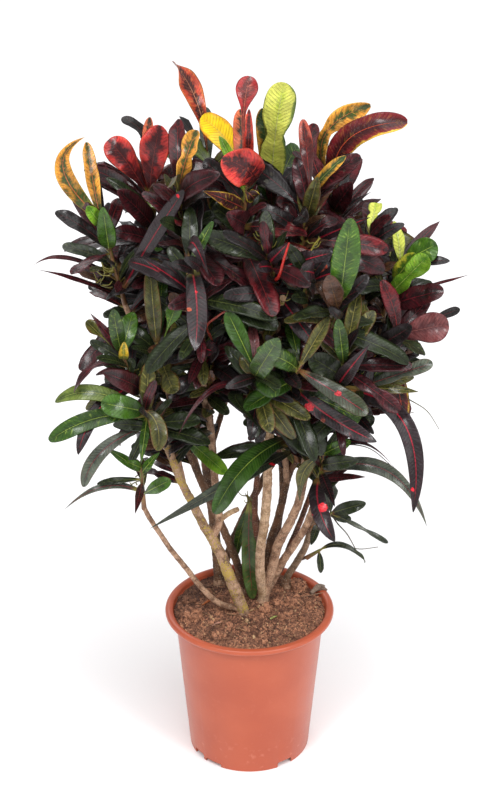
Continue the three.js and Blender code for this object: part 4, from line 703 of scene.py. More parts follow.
def ruled_leaf(shoot, i, turn):
    """The shoot's own leaf number i, turned "turn" degrees round the shoot from its place."""
    draw = draws(SEED + 1000 * shoot.number + i)
    share = (i + 0.5) / shoot.leaves
    bearing = math.radians(GOLDEN * i + 40 * next(draw) + 67 * shoot.number + turn)
    lift = math.radians(-12 + 76 * share**1.2 + 16 * next(draw) - 8)
    long = shoot.long * (0.9 + 0.4 * next(draw)) * (1 - 0.25 * share)
    wide = shoot.wide * (1.05 + 0.4 * next(draw))
    kind = picked(RULE_KINDS, next(draw))
    arch = 0.06 + 0.12 * next(draw)
    foot = shoot.foot + (shoot.tip - shoot.foot) * (0.14 + 0.84 * share)
    tip = tip_from(foot, shoot.axis, bearing, lift, 0.22 * (1 - share), long)
    return leaf_between(shoot, foot, tip, wide, kind, 0.5, arch, None, next(draw))


def corners_of(node):
    """The corners of a node's solid, in millimetres."""
    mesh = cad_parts[node].data
    places = np.empty(3 * len(mesh.vertices), np.float32)
    mesh.vertices.foreach_get("co", places)
    return places.reshape(-1, 3).astype(float) / MM


def standing(leaf, corners):
    """Whether the solid has this leaf: a corner at its tip, or on the ridge near it."""
    tip_slack, ridge_slack = 0.15, 0.1
    if corners.find(leaf.tip)[2] < tip_slack:
        return True
    point, _, rise, _ = frame_at(leaf, leaf.last)
    ridges = point[0] + rise[0] * BLADE.thick / 2, point[0] - rise[0] * BLADE.thick / 2
    return any(corners.find(ridge)[2] < ridge_slack for ridge in ridges)


def leaves_of(shoot):
    """The shoot's leaves with their looks and how finely each is made."""
    corners = kdtree.KDTree(len(shoot.corners))
    for i, corner in enumerate(shoot.corners):
        corners.insert(corner, i)
    corners.balance()
    found = []
    for i, row in enumerate(LEAVES.get(shoot.name, [])):
        phase = next(draws(SEED + 500000 + 1000 * shoot.number + i))
        tries = (read_leaf(shoot, row, phase, shift) for shift in SHIFTS)
        found += [(leaf, row[8], True) for leaf in tries if standing(leaf, corners)][:1]
    for i in range(shoot.leaves):
        look = picked(MIXES[shoot.tint].split(), next(draws(SEED + 900000 + 1000 * shoot.number + i)))
        tries = (ruled_leaf(shoot, i, turn) for turn in TURNS)
        found += [(leaf, look, False) for leaf in tries if standing(leaf, corners)][:1]
    return found


# ---- more leaves, where the photograph's plant is dense ----

# What they stay inside, and the gap between the stems that they leave open, in pixels.
CANOPY = [
    (95, 150), (125, 122), (165, 112), (205, 108), (250, 100), (300, 100), (345, 125), (372, 160), (385, 195),
    (425, 225), (440, 260), (445, 300), (430, 345), (425, 400), (400, 440), (350, 470), (330, 500),
    (312, 470), (285, 445), (240, 445), (165, 445), (150, 470), (110, 480), (75, 450), (60, 410), (85, 360),
    (80, 320), (60, 270), (65, 220), (75, 180),
]
WINDOW = [(215, 402), (232, 397), (243, 410), (243, 447), (215, 447)]
PERCH = 85  # mm of a branch below its shoot that carry leaves too
PERCHES = 40  # places on them
MOST_FILLING = 60  # filling leaves that one shoot may have, and how many for each leaf by rule
FILLING_PER_LEAF = 5


def shown(points):
    """The pixels at which points show, how far away they are, and pixels per millimetre there."""
    rays = np.atleast_2d(points) - EYE
    away = rays @ AHEAD
    return CENTRE[0] + rays[:, 0] * FOCAL / away, CENTRE[1] - rays @ ABOVE * FOCAL / away, away, FOCAL / away


def inside(corners, x, y):
    """Whether a place lies inside an outline."""
    within = False
    for (ax, ay), (bx, by) in zip(corners, corners[1:] + corners[:1]):
        if (ay > y) != (by > y) and x < ax + (bx - ax) * (y - ay) / (by - ay):
            within = not within
    return within


class Room:
    """The cells of space that leaves and wood take up, and where the photograph's own leaves show."""

    cell = 6.0  # mm
    shared = 0.06  # share of its cells that a leaf may have in common with others

    def __init__(self, branches):
        self.taken = set()
        self.spots = []
        for branch in branches:
            self.taken.update(self.cells_at(smooth_route(branch.points, 3.0)[0]))

    def cells_at(self, points):
        return [tuple(cell) for cell in np.floor(points / self.cell).astype(int)]

    def cells_of(self, leaf):
        t = np.linspace(0.22, 0.99, 15)
        point, side, rise, _ = frame_at(leaf, t)
        half = (outline(leaf.kind, t) * leaf.half)[:, None]
        rows = [
            point + side * half * across + rise * half * BLADE.fold * abs(across)
            for across in (-0.85, -0.4, 0, 0.4, 0.85)
        ]
        return self.cells_at(np.concatenate(rows))

    def add(self, leaf, stands_out):
        self.taken.update(self.cells_of(leaf))
        if stands_out:
            t = np.array([0.35, 0.5, 0.65, 0.8, 0.93])
            x, y, away, scale = shown(frame_at(leaf, t)[0])
            self.spots += list(zip(x, y, away, outline(leaf.kind, t) * leaf.half * scale))

    def fits(self, leaf):
        """Whether a leaf stays in the canopy, clear of others and behind the photograph's own."""
        x, y, away, _ = shown(frame_at(leaf, np.array([0.45, 0.7, 1]))[0])
        if not inside(CANOPY, x[2], y[2]) or any(inside(WINDOW, *place) for place in zip(x, y)):
            return False
        low, high = np.array(CAD_BOX) / MM
        if (leaf.tip < low).any() or (leaf.tip > high).any():
            return False
        cells = self.cells_of(leaf)
        if sum(cell in self.taken for cell in cells) > self.shared * len(cells):
            return False
        spots = np.array(self.spots)
        near = np.hypot(spots[:, :1] - x, spots[:, 1:2] - y) < spots[:, 3:]
        return not (near & (away < spots[:, 2:3])).any()


def perches_of(shoot):
    """Places along the end of the branch and the shoot's stem, and the way that the wood runs there."""
    places = np.concatenate([smooth_route(shoot.branch.points, 5.0)[0], [shoot.tip]])
    runs = np.linalg.norm(np.diff(places, axis=0), axis=1)
    left = np.append(np.cumsum(runs[::-1])[::-1], 0)
    long = runs[-1] + PERCH
    marks = np.linspace(min(long, left[0]), 2, PERCHES)
    places = np.stack([np.interp(-marks, -left, places[:, axis]) for axis in range(3)], axis=1)
    ways = np.gradient(places, axis=0)
    return places, ways / np.linalg.norm(ways, axis=1, keepdims=True)


def filling_leaf(shoot, perches, i, turn):
    """One of the leaves that fill the canopy."""
    draw = draws(SEED + 700000 + 1000 * shoot.number + i)
    share = next(draw)
    place = int(share * (PERCHES - 1))
    foot, axis = perches[0][place], perches[1][place]
    bearing = math.radians(GOLDEN * i + turn)
    lift = math.radians(8 + 58 * share + 36 * next(draw) - 18)
    long = shoot.long * (0.38 + 0.46 * next(draw))
    wide = max(shoot.wide, 14) * (0.6 + 0.4 * next(draw))
    kind = picked(FILL_KINDS, next(draw))
    tip = tip_from(foot, axis, bearing, lift, 0.15 * (1 - share), long)
    arch = 0.08 + 0.12 * next(draw)
    # Leaves further from the shoot's tip more often take the darker inner looks: painted shade deep in the
    # canopy, over the plant's own dark leaves.
    mix = MIXES["inner" if next(draw) > 0.35 * share else shoot.tint]
    look = picked(mix.split(), next(draw))
    return leaf_between(shoot, foot, tip, wide, kind, 0.55, arch, None, next(draw)), look


def woods():
    """Every branch, with its route in space."""
    near = [(*row[:4], [seen(place[:2], place[2]) for place in row[4]]) for row in BRANCHES]
    far = [(*row[:4], [np.array(place, float) for place in row[4]]) for row in FAR_BRANCHES]
    for node, bark, wide, rooted, points in near + far:
        if rooted:
            points = [np.array([*STOCKS[node], SOIL_MIDDLE + 4], float)] + points
        yield SimpleNamespace(node=node, bark=bark, wide=wide, points=points)


def shoots(branches):
    """Every shoot, with its branch, and its place read from its solid."""
    near = [(name, *(seen(end[:2], end[2]) for end in row[:2]), *row[2:]) for name, row in SHOOTS.items()]
    far = [(name, *(np.array(end, float) for end in row[:2]), *row[2:]) for name, row in FAR_SHOOTS.items()]
    for number, (name, foot, tip, leaves, long, wide, tint) in enumerate(near + far):
        branch = min(branches, key=lambda branch: np.linalg.norm(branch.points[-1] - foot))
        end = branch.points[-1]
        axis = unit(tip - end)
        corners = corners_of(name)
        run = (corners - end) @ axis
        aside = np.linalg.norm(corners - end - run[:, None] * axis, axis=1)
        ring = (abs(aside - SHOOT_ROOT) < 0.02) & (run > -0.01) & (run < SHOOT_REACH + 0.01)
        start = end + axis * (run[ring].min() + SHOOT_SUNK)
        yield SimpleNamespace(
            name=name, number=number, branch=branch, end=end, foot=start, tip=tip, axis=axis, leaves=leaves,
            long=long, wide=wide, tint=tint, corners=corners,
        )


# ---- nodes ----


class Wire:
    """A node's output. Arithmetic on it adds the nodes that work it out."""

    def __init__(self, tree, socket):
        self.tree, self.socket = tree, socket

    def math(self, operation, *others, clamp=False):
        return put(self.tree, "ShaderNodeMath", self, *others, operation=operation, use_clamp=clamp)

    def __add__(self, other):
        return self.math("ADD", other)

    def __mul__(self, other):
        return self.math("MULTIPLY", other)

    def __sub__(self, other):
        return self.math("SUBTRACT", other)

    def __truediv__(self, other):
        return self.math("DIVIDE", other)

    def __abs__(self):
        return self.math("ABSOLUTE")

    def over(self, value):
        return self.math("GREATER_THAN", value)

    def spread(self, low, high, least=0.0, most=1.0):
        """A soft step from "least" to "most" while this goes from "low" to "high"."""
        return put(
            self.tree, "ShaderNodeMapRange", self, low, high, least, most, interpolation_type="SMOOTHSTEP"
        )


def put(tree, kind, *values, out=0, named=None, **settings):
    """Adds a node, with its open inputs joined or set in order, and gives one of its open outputs."""
    node = tree.nodes.new(kind)
    for name, value in settings.items():
        setattr(node, name, value)
    pairs = list(zip([socket for socket in node.inputs if socket.enabled], values))
    pairs += [(node.inputs[name], value) for name, value in (named or {}).items()]
    for socket, value in pairs:
        if isinstance(value, Wire):
            tree.links.new(value.socket, socket)
        elif value is not None:
            socket.default_value = value
    return Wire(tree, [socket for socket in node.outputs if socket.enabled][out])


def triple(tree, x, y, z):
    return put(tree, "ShaderNodeCombineXYZ", x, y, z)


def part_of(vector, axis):
    """A vector's x, y or z, by number."""
    return put(vector.tree, "ShaderNodeSeparateXYZ", vector, out=axis)


def scaled(vector, by):
    return put(vector.tree, "ShaderNodeVectorMath", vector, by, operation="SCALE")


def moved(vector, by):
    return put(vector.tree, "ShaderNodeVectorMath", vector, by, operation="ADD")


def noise(place, scale, detail=2.0, out=0):
    return put(place.tree, "ShaderNodeTexNoise", place, scale, detail, out=out)


def mixed(share, first, second):
    """Colour "first" where share is 0 and "second" where it is 1."""
    tree = share.tree
    return put(tree, "ShaderNodeMix", share, first, second, data_type="RGBA")


def paint(colour):
    return (*linear(colour), 1)


# ---- Geometry Nodes ----

INT, FLOAT, MATERIAL = "NodeSocketInt", "NodeSocketFloat", "NodeSocketMaterial"
SCAR_GAP = 9.0  # mm between a stem's ring scars


def new_tree(name, inputs):
    """A tree that takes a mesh and some sizes. Gives the tree and its inputs by name."""
    tree = bpy.data.node_groups.new(name, "GeometryNodeTree")
    tree.interface.new_socket("Geometry", in_out="INPUT", socket_type="NodeSocketGeometry")
    for label, (kind, value) in inputs.items():
        socket = tree.interface.new_socket(label, in_out="INPUT", socket_type=kind)
        if value is not None:
            socket.default_value = value
    tree.interface.new_socket("Geometry", in_out="OUTPUT", socket_type="NodeSocketGeometry")
    given = tree.nodes.new("NodeGroupInput")
    return tree, {socket.name: Wire(tree, socket) for socket in given.outputs if socket.name}


def finish_tree(tree, shape, material, smooth=True):
    shape = put(tree, "GeometryNodeRealizeInstances", shape)
    shape = put(tree, "GeometryNodeSetShadeSmooth", shape, True, smooth)
    shape = put(tree, "GeometryNodeSetMaterial", shape, True, material)
    tree.links.new(shape.socket, tree.nodes.new("NodeGroupOutput").inputs[0])
    return tree


def field(tree, name, kind="FLOAT"):
    return put(tree, "GeometryNodeInputNamedAttribute", name, data_type=kind)


def store(shape, name, value, kind="FLOAT", domain="POINT"):
    settings = {"data_type": kind, "domain": domain}
    return put(shape.tree, "GeometryNodeStoreNamedAttribute", shape, True, name, value, **settings)


def strand_tree():
    """Sweeps a ring along every chain of points. Each point says which way the ring is wide and thick.
    A blade's sides rise from the midrib and wave. A stem is lumpy and ringed with scars."""
    tree, given = new_tree(
        "Swept strands",
        {
            "Sides": (INT, 8), "Fine sides": (INT, 12), "Fold": (FLOAT, 0.2), "Wave": (FLOAT, 0.3),
            "Waves": (FLOAT, 1.7), "Lag": (FLOAT, 0.35), "Ripple": (FLOAT, 0.07), "Lump": (FLOAT, 0),
            "Lumps per metre": (FLOAT, 60), "Scar": (FLOAT, 0), "Scar spacing": (FLOAT, SCAR_GAP),
            "Finish": (MATERIAL, None),
        },
    )
    chains = store(given["Geometry"], "centre", put(tree, "GeometryNodeInputPosition"), "FLOAT_VECTOR")
    fine = field(tree, "fine").over(0.5)
    parts = []
    for out, sides in ((0, "Fine sides"), (1, "Sides")):
        part = put(tree, "GeometryNodeSeparateGeometry", chains, fine, domain="POINT", out=out)
        chain = put(tree, "GeometryNodeMeshToCurve", part)
        ring = put(tree, "GeometryNodeCurvePrimitiveCircle", given[sides], 1.0, mode="RADIUS")
        for name, axis in (("across", 0), ("face", 1)):
            ring = store(ring, name, part_of(put(tree, "GeometryNodeInputPosition"), axis))
        parts.append(put(tree, "GeometryNodeCurveToMesh", chain, ring, named={"Fill Caps": True}))
    shape = put(tree, "GeometryNodeJoinGeometry", parts[0])
    tree.links.new(parts[1].socket, shape.socket.node.inputs[0])

    centre, side, rise = (field(tree, name, "FLOAT_VECTOR") for name in ("centre", "side", "rise"))
    across, face, along, blade = (field(tree, name) for name in ("across", "face", "along", "blade"))
    half, thick = field(tree, "half") * MM, field(tree, "thick") * (MM / 2)
    round_place = moved(moved(centre, scaled(side, across * half)), scaled(rise, face * thick))
    lump = (noise(round_place, given["Lumps per metre"], 3.0) - 0.5) * given["Lump"] * 2.0
    run = along * field(tree, "length") / given["Scar spacing"] + field(tree, "phase")
    scar = abs((run * math.pi).math("COSINE")).math("POWER", 10.0)
    swell = (lump + scar * given["Scar"]) * (blade * -1.0 + 1.0) + 1.0
    later = across.over(0.0) * given["Lag"]
    turn = (along * given["Waves"] + field(tree, "phase") + later) * (2 * math.pi)
    ripple = (turn * 2.7).math("SINE") * along * given["Ripple"]
    lift = turn.math("SINE") * along * given["Wave"] + given["Fold"] + ripple
    lift = lift * abs(across).math("POWER", 1.3) * half * blade
    place = moved(centre, scaled(side, across * half * swell))
    place = moved(place, scaled(rise, face * thick * swell + lift))
    shape = put(tree, "GeometryNodeSetPosition", shape, True, place)
    return finish_tree(tree, shape, given["Finish"])


def crumb_tree():
    """Scatters crumbs over the faces, each turned, stretched and dented by chance, with a tone of its own."""
    tree, given = new_tree(
        "Soil crumbs",
        {
            "Per square metre": (FLOAT, 60000), "Smallest": (FLOAT, 0.001), "Largest": (FLOAT, 0.003),
            "Seed": (INT, 5), "Finish": (MATERIAL, None),
        },
    )
    points = put(
        tree, "GeometryNodeDistributePointsOnFaces", given["Geometry"], True, given["Per square metre"],
        given["Seed"], distribute_method="RANDOM",
    )
    ball = put(tree, "GeometryNodeMeshIcoSphere", 1.0, 1)
    turn = put(
        tree, "FunctionNodeRandomValue", (0, 0, 0), (6.28, 6.28, 6.28), None, 3, data_type="FLOAT_VECTOR"
    )
    shape = put(
        tree, "FunctionNodeRandomValue", (0.7, 0.55, 0.4), (1.5, 1.0, 0.9), None, 4, data_type="FLOAT_VECTOR"
    )
    share = put(tree, "FunctionNodeRandomValue", 0.0, 1.0, None, 7, data_type="FLOAT").math("POWER", 2.5)
    size = share * (given["Largest"] - given["Smallest"]) + given["Smallest"]
    crumbs = put(
        tree, "GeometryNodeInstanceOnPoints", points, True, ball, False, None, turn, scaled(shape, size)
    )
    tone = put(tree, "FunctionNodeRandomValue", 0.0, 1.0, None, 9, data_type="FLOAT")
    crumbs = store(crumbs, "tone", tone, domain="INSTANCE")
    crumbs = put(tree, "GeometryNodeRealizeInstances", crumbs)
    place = put(tree, "GeometryNodeInputPosition")
    dent = moved(noise(place, 420.0, 1.0, out=1), (-0.5, -0.5, -0.5))
    crumbs = put(tree, "GeometryNodeSetPosition", crumbs, True, None, scaled(dent, 0.0016))
    return finish_tree(tree, crumbs, given["Finish"], smooth=False)


def bed_tree():
    """Heaves the bed's top, where "top" is 1."""
    tree, given = new_tree(
        "Heaved soil",
        {
            "Heave": (FLOAT, 0.004), "Heaves per metre": (FLOAT, 38), "Grain": (FLOAT, 0.0016),
            "Finish": (MATERIAL, None),
        },
    )
    place = put(tree, "GeometryNodeInputPosition")
    heave = (noise(place, given["Heaves per metre"], 2.0) - 0.5) * given["Heave"] * 2.0
    grain = (noise(place, 260.0, 3.0) - 0.5) * given["Grain"] * 2.0
    lift = triple(tree, 0.0, 0.0, (heave + grain) * field(tree, "top"))
    shape = put(tree, "GeometryNodeSetPosition", given["Geometry"], True, None, lift)
    return finish_tree(tree, shape, given["Finish"])


def made(name, source, tree, **sizes):
    """A new object with the plain mesh that a tree makes of a source mesh."""
    piece = bpy.data.objects.new(name, source)
    SCENE.collection.objects.link(piece)
    modifier = piece.modifiers.new("shape", "NODES")
    modifier.node_group = tree
    for item in tree.interface.items_tree:
        if item.in_out == "INPUT" and item.name in sizes:
            modifier[item.identifier] = sizes[item.name]
    baked(piece)
    tidy = bmesh.new()
    tidy.from_mesh(piece.data)
    bmesh.ops.recalc_face_normals(tidy, faces=tidy.faces)
    tidy.to_mesh(piece.data)
    tidy.free()
    for spent in ("centre", "side", "rise", "fine", "thick"):
        if spent in piece.data.attributes:
            piece.data.attributes.remove(piece.data.attributes[spent])
    return piece


def baked(piece):
    """Turns what the piece's modifiers make into its mesh."""
    depsgraph = bpy.context.evaluated_depsgraph_get()
    mesh = bpy.data.meshes.new_from_object(
        piece.evaluated_get(depsgraph), preserve_all_data_layers=True, depsgraph=depsgraph
    )
    piece.modifiers.clear()
    piece.data = mesh
    mesh.name = piece.name


def settle(piece, slot, *nodes):
    """Says what a piece rides on and hides the solids that it stands for. Its finish's slot is not used."""
    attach(piece, "root")
    if nodes:
        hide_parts(*nodes)
    return piece


# ---- strands ----

# What a point carries where nothing else is said.
MARKS = ["ground", "second", "rib", "margin", "traits", "extras", "dot"]
PLAIN = {"blade": 0, "fine": 0, "phase": 0, "seed": 0, "length": 1} | {name: (0, 0, 0) for name in MARKS}
VECTORS = {"side", "rise", *MARKS}


class Strands:
    """Chains of points, with what the sweep and the finish read at each."""

    def __init__(self):
        self.points, self.edges, self.fields, self.count = [], [], {}, 0

    def add(self, points, side, rise, half, thick, along, **fields):
        size = len(points)
        self.edges += [(self.count + i, self.count + i + 1) for i in range(size - 1)]
        self.points.append(np.asarray(points, float))
        self.count += size
        given = dict(PLAIN, side=side, rise=rise, half=half, thick=thick, along=along, **fields)
        for name, value in given.items():
            shape = (size, 3) if name in VECTORS else (size,)
            self.fields.setdefault(name, []).append(np.broadcast_to(np.asarray(value, float), shape))

    def mesh(self, name):
        mesh = bpy.data.meshes.new(name)
        mesh.from_pydata((np.concatenate(self.points) * MM).tolist(), self.edges, [])
        for label, rows in self.fields.items():
            wide = label in VECTORS
            attribute = mesh.attributes.new(label, "FLOAT_VECTOR" if wide else "FLOAT", "POINT")
            values = np.concatenate(rows).astype(np.float32).ravel()
            attribute.data.foreach_set("vector" if wide else "value", values)
        return mesh


def smooth_route(points, step):
    """Stations about "step" mm apart on a smooth curve through some points, and each one's share of the
    way in numbers of points."""
    points = np.asarray(points, float)
    padded = np.concatenate([[2 * points[0] - points[1]], points, [2 * points[-1] - points[-2]]])
    stations, shares = [], []
    for i in range(len(points) - 1):
        a, b, c, d = padded[i : i + 4]
        count = max(2, round(np.linalg.norm(c - b) / step))
        for k in range(count + (i == len(points) - 2)):
            t = k / count
            bend = 2 * b + (c - a) * t + (2 * a - 5 * b + 4 * c - d) * t**2 + (3 * b - a - 3 * c + d) * t**3
            stations.append(bend / 2)
            shares.append((i + t) / (len(points) - 1))
    return np.array(stations), np.array(shares)


def add_round(strands, points, radii, step=2.5, **fields):
    """Adds a round strand along a smooth route. "radii" are at the ends, or one for each point."""
    stations, shares = smooth_route(points, step)
    radius = np.interp(shares, np.linspace(0, 1, len(radii)), radii)
    along = np.gradient(stations, axis=0)
    along /= np.linalg.norm(along, axis=1, keepdims=True)
    aside = np.array([1, 0.3, 0.1])
    turned = []
    for way in along:
        aside = unit(aside - way * (aside @ way))
        turned.append(aside)
    sides = np.array(turned)
    runs = np.concatenate([[0], np.cumsum(np.linalg.norm(np.diff(stations, axis=0), axis=1))])
    rises = np.cross(sides, along)
    strands.add(stations, sides, rises, radius, 2 * radius, runs / runs[-1], length=runs[-1], **fields)


def look_fields(look):
    """What a leaf's points carry for its look."""
    ground, second, rib, margin, *traits = LOOKS[look]
    return dict(
        ground=linear(ground), second=linear(second), rib=linear(rib), margin=linear(margin),
        traits=traits[:3], extras=traits[3:],
    )


def bark_fields(bark):
    """What a stem's points carry for its bark."""
    ground, second, *traits = BARKS[bark]
    return dict(ground=linear(ground), second=linear(second), traits=traits)


def dot_on(leaf):
    """Where a blotch of the photograph lies on a leaf: share along it, mm aside and radius."""
    t = np.linspace(0.1, 0.97, 60)
    point, side = frame_at(leaf, t)[:2]
    x, y, _, scale = shown(point)
    for px, py, radius in DOTS:
        gaps = np.hypot(x - px, y - py)
        k = gaps.argmin()
        if gaps[k] < outline(leaf.kind, t[k]) * leaf.half * scale[k] * 0.9:
            beside = shown(point[k] + side[k])
            east, south = beside[0][0] - x[k], beside[1][0] - y[k]
            aside = ((px - x[k]) * east + (py - y[k]) * south) / (east**2 + south**2)
            return np.array([t[k], aside, radius / scale[k]])
    return np.zeros(3)


def add_leaf(strands, leaf, look, fine, seed):
    """Adds a blade with its stalk. A fine one has more stations and turns less by chance."""
    # The stations lie closer together towards the tip, and the last two round it off.
    share = np.linspace(0, 1, 23 if fine else 9)
    t = np.append(0.965 * (0.5 * share + 0.5 * np.sin(share * math.pi / 2)), [0.986, 0.997])
    point, side, rise, _ = frame_at(leaf, t)
    if leaf.twist:
        turn = leaf.twist[0] * (t - leaf.twist[1])
    else:
        turn = (0.3 if fine else 0.9) * math.sin(40 * leaf.phase) * (t - 0.3 * t**2)
    turn = turn[:, None]
    side, rise = side * np.cos(turn) + rise * np.sin(turn), rise * np.cos(turn) - side * np.sin(turn)
    half = np.maximum(outline(leaf.kind, t) * leaf.half, 1.2 * (1 - t / 0.3))
    thick = np.interp(t, [0, 0.06, 0.16, 0.8, 1], [2.4, 2.1, 1.15, 0.9, 0.6])
    length = np.linalg.norm(np.diff(frame_at(leaf, np.linspace(0, 1, 9))[0], axis=0), axis=1).sum()
    dot = dot_on(leaf) * (length, 1, 1) if fine else np.zeros(3)
    strands.add(
        point, side, rise, half, thick, t, length=length, phase=leaf.phase, blade=1, fine=fine, seed=seed,
        dot=dot, **look_fields(look),
    )


# ---- finishes ----


def new_material(name, **shader):
    """A material, its tree and its shader, with constants on the shader's own sockets."""
    material = bpy.data.materials.new(name)
    material.use_nodes = True
    tree = material.node_tree
    principled = tree.nodes["Principled BSDF"]
    for label, value in shader.items():
        principled.inputs[label.replace("_", " ")].default_value = value
    return material, tree, principled.inputs


def mark(tree, name, out=2):
    """What the mesh carries under a name: 2 for a number, 1 for a vector."""
    return put(tree, "ShaderNodeAttribute", attribute_name=name, out=out)


def traits_of(tree, *names):
    """The three numbers in each of some vectors that the mesh carries."""
    return (part_of(mark(tree, name, 1), axis) for name in names for axis in range(3))


def tinted(colour, saturation, value):
    return put(colour.tree, "ShaderNodeHueSaturation", 0.5, saturation, value, 1.0, colour)


def join(wire, socket):
    wire.tree.links.new(wire.socket, socket)


def bumped(tree, height, distance, strength=1.0):
    return put(tree, "ShaderNodeBump", named={"Strength": strength, "Distance": distance, "Height": height})


VEIN_GAP, VEIN_SLANT = 5.2, 0.85  # mm between side veins along a leaf, and how far they lean to the tip


def leaf_finish():
    """The middle's colour feathers out along the side veins into the outer one. Over it lie a mottle, fine
    side veins, a midrib, a margin, round blotches and a stalk, in millimetres on the blade. The underside
    is paler and duller."""
    material, tree, shader = new_material(
        "croton leaf", Specular_IOR_Level=0.16, Coat_Weight=0.44, Coat_Roughness=0.19
    )
    along, across, face, half = (mark(tree, name) for name in ("along", "across", "face", "half"))
    length, seed, blade = (mark(tree, name) for name in ("length", "seed", "blade"))
    ground, second, rib, margin = (mark(tree, name, 1) for name in ("ground", "second", "rib", "margin"))
    middle, foot, veins, mottle, edge, blotch = traits_of(tree, "traits", "extras")
    run, aside = along * length, across * half
    place = triple(tree, run, aside, seed * 97.0)
    cloud = noise(place, 0.09, 3.0)
    grain = noise(place, 0.5, 3.0)
    slope = (run - abs(aside) * VEIN_SLANT) / VEIN_GAP + (grain - 0.5) * 0.25 + seed * 7.0
    line = abs(slope.math("FRACT") - 0.5) * 2.0
    streak = noise(triple(tree, slope * 1.4, aside * 0.14, seed * 53.0), 1.0, 3.0)

    feather = abs(across) + (line - 0.5) * veins * 0.24 + (cloud - 0.5) * mottle * 1.7
    feather = feather + (streak - 0.5) * 0.4
    inner = (feather - middle).spread(-0.28, 0.28, 1.0, 0.0)
    low = (along + (cloud - 0.5) * 0.7 + (line - 0.5) * veins * 0.1 - foot).spread(-0.2, 0.2, 1.0, 0.0)
    colour = mixed(inner.math("MAXIMUM", low), ground, second)
    rim = (abs(across) + (cloud - 0.5) * 0.6 + (along - 0.5) * 0.15).spread(0.78, 0.98) * blade
    sides = edge.over(0.0).math("MAXIMUM", across.over(0.0))
    colour = mixed(rim * abs(edge) * sides, colour, margin)
    fleck = mixed(seed.math("FRACT").spread(0.3, 0.7), rib, margin)
    colour = mixed(streak.spread(0.56, 0.7) * mottle * 0.5, colour, fleck)
    colour = mixed(streak.spread(0.3, 0.44, 1.0, 0.0) * mottle * 0.5, colour, second)
    reach = abs(across).spread(0.75, 0.98, 1.0, 0.0) * along.spread(0.08, 0.2)
    vein = line.spread(0.80, 0.98) * reach * blade
    colour = mixed(vein * veins * 0.35, colour, rib)
    wide = (along * -0.8 + 1.2) * (blotch.over(0.1) * 0.8 + 1.0)
    midrib = (abs(aside) / wide).spread(0.35, 0.95, 1.0, 0.0) * along.spread(0.82, 0.97, 1.0, 0.0)
    midrib = midrib * blade
    colour = mixed(midrib * grain.spread(0.2, 0.6, 0.45, 0.95), colour, rib)

    cells = dict(named={"Vector": place, "Scale": 0.06, "Randomness": 0.9})
    far = put(tree, "ShaderNodeTexVoronoi", **cells)
    pick = part_of(put(tree, "ShaderNodeTexVoronoi", out=1, **cells), 0)
    spot = (far + (grain - 0.5) * 0.2).spread(0.14, 0.2, 1.0, 0.0) * pick.over(0.5) * blotch
    crimson, orange = paint((206, 28, 52)), paint((228, 96, 50))
    colour = mixed(spot, colour, mixed(pick.spread(0.6, 0.9), crimson, orange))
    dot = mark(tree, "dot", 1)
    flat = put(tree, "ShaderNodeVectorMath", dot, (1, 1, 0), operation="MULTIPLY")
    off = put(tree, "ShaderNodeVectorMath", triple(tree, run, aside, 0.0), flat, operation="DISTANCE")
    size = part_of(dot, 2)
    ragged = noise(place, 0.22, 2.0) - 0.5
    bright = (off + ragged * 6.0 - size).spread(-0.8, 0.4, 1.0, 0.0) * size.over(0.1)
    colour = mixed(bright, colour, paint((224, 32, 48)))
    stalk = along.spread(0.07, 0.17, 1.0, 0.0) * blade
    colour = mixed(stalk * 0.8, colour, mixed(seed, paint((168, 162, 78)), paint((116, 62, 44))))

    shade = noise(triple(tree, seed * 31.0, run * 0.02, aside * 0.02), 1.7, 2.0)
    colour = tinted(colour, 1.0, shade.spread(0.25, 0.75, 0.62, 1.2))
    under = face.spread(-0.30, -0.06, 1.0, 0.0) * blade
    colour = mixed(under, colour, mixed(grain * 0.2 + 0.1, tinted(colour, 0.75, 1.05), paint((104, 100, 76))))
    join(colour, shader["Base Color"])
    join(under * 0.2 + cloud * 0.2 + 0.24, shader["Roughness"])
    height = vein * -0.8 + midrib * 0.9 + grain * 0.12 + cloud * 1.4 + streak * 0.6
    join(bumped(tree, height, 0.0024, 0.8), shader["Normal"])
    return material


def bark_finish():
    """Speckled bark with ring scars, darker cracks along the stem and patches of mustard lichen."""
    material, tree, shader = new_material("croton bark", Roughness=0.85)
    ground, second = mark(tree, "ground", 1), mark(tree, "second", 1)
    scars, speckle, lichen = traits_of(tree, "traits")
    place = put(tree, "ShaderNodeTexCoord", out=3)
    run = mark(tree, "along") * mark(tree, "length")
    cloud = noise(place, 70.0, 3.0)
    colour = mixed(cloud.spread(0.4, 0.66), ground, second)
    cracks = noise(triple(tree, mark(tree, "across") * 3.0, mark(tree, "face") * 3.0, run * 0.06), 2.2, 4.0)
    colour = mixed(cracks.spread(0.54, 0.68) * 0.7, colour, paint((84, 56, 40)))
    pits = noise(place, 380.0, 3.0)
    colour = mixed(pits.spread(0.55, 0.68) * 0.6, colour, paint((98, 66, 46)))
    grain = noise(place, 900.0, 2.0)
    dots = put(tree, "ShaderNodeTexVoronoi", named={"Vector": place, "Scale": 420.0})
    dot = (dots + grain * 0.3).spread(0.3, 0.5, 1.0, 0.0)
    colour = mixed(dot * speckle * 0.75, colour, paint((222, 208, 182)))
    turn = (run / SCAR_GAP + mark(tree, "phase") + (cloud - 0.5) * 1.6) * math.pi
    ring = abs(turn.math("COSINE")).math("POWER", 14.0) * pits.spread(0.3, 0.6)
    colour = mixed(ring * scars * 0.7, colour, paint((88, 64, 46)))
    patch = (noise(place, 46.0, 3.0) + (pits - 0.5) * 1.3).spread(0.51, 0.58) * lichen * 0.9
    colour = mixed(patch, colour, mixed(grain, paint((158, 128, 44)), paint((196, 170, 92))))
    join(colour, shader["Base Color"])
    height = cloud * 0.6 + grain * 0.5 + ring * scars * 0.8 + patch * 0.4 + cracks * -0.7
    join(bumped(tree, height, 0.0012), shader["Normal"])
    return material


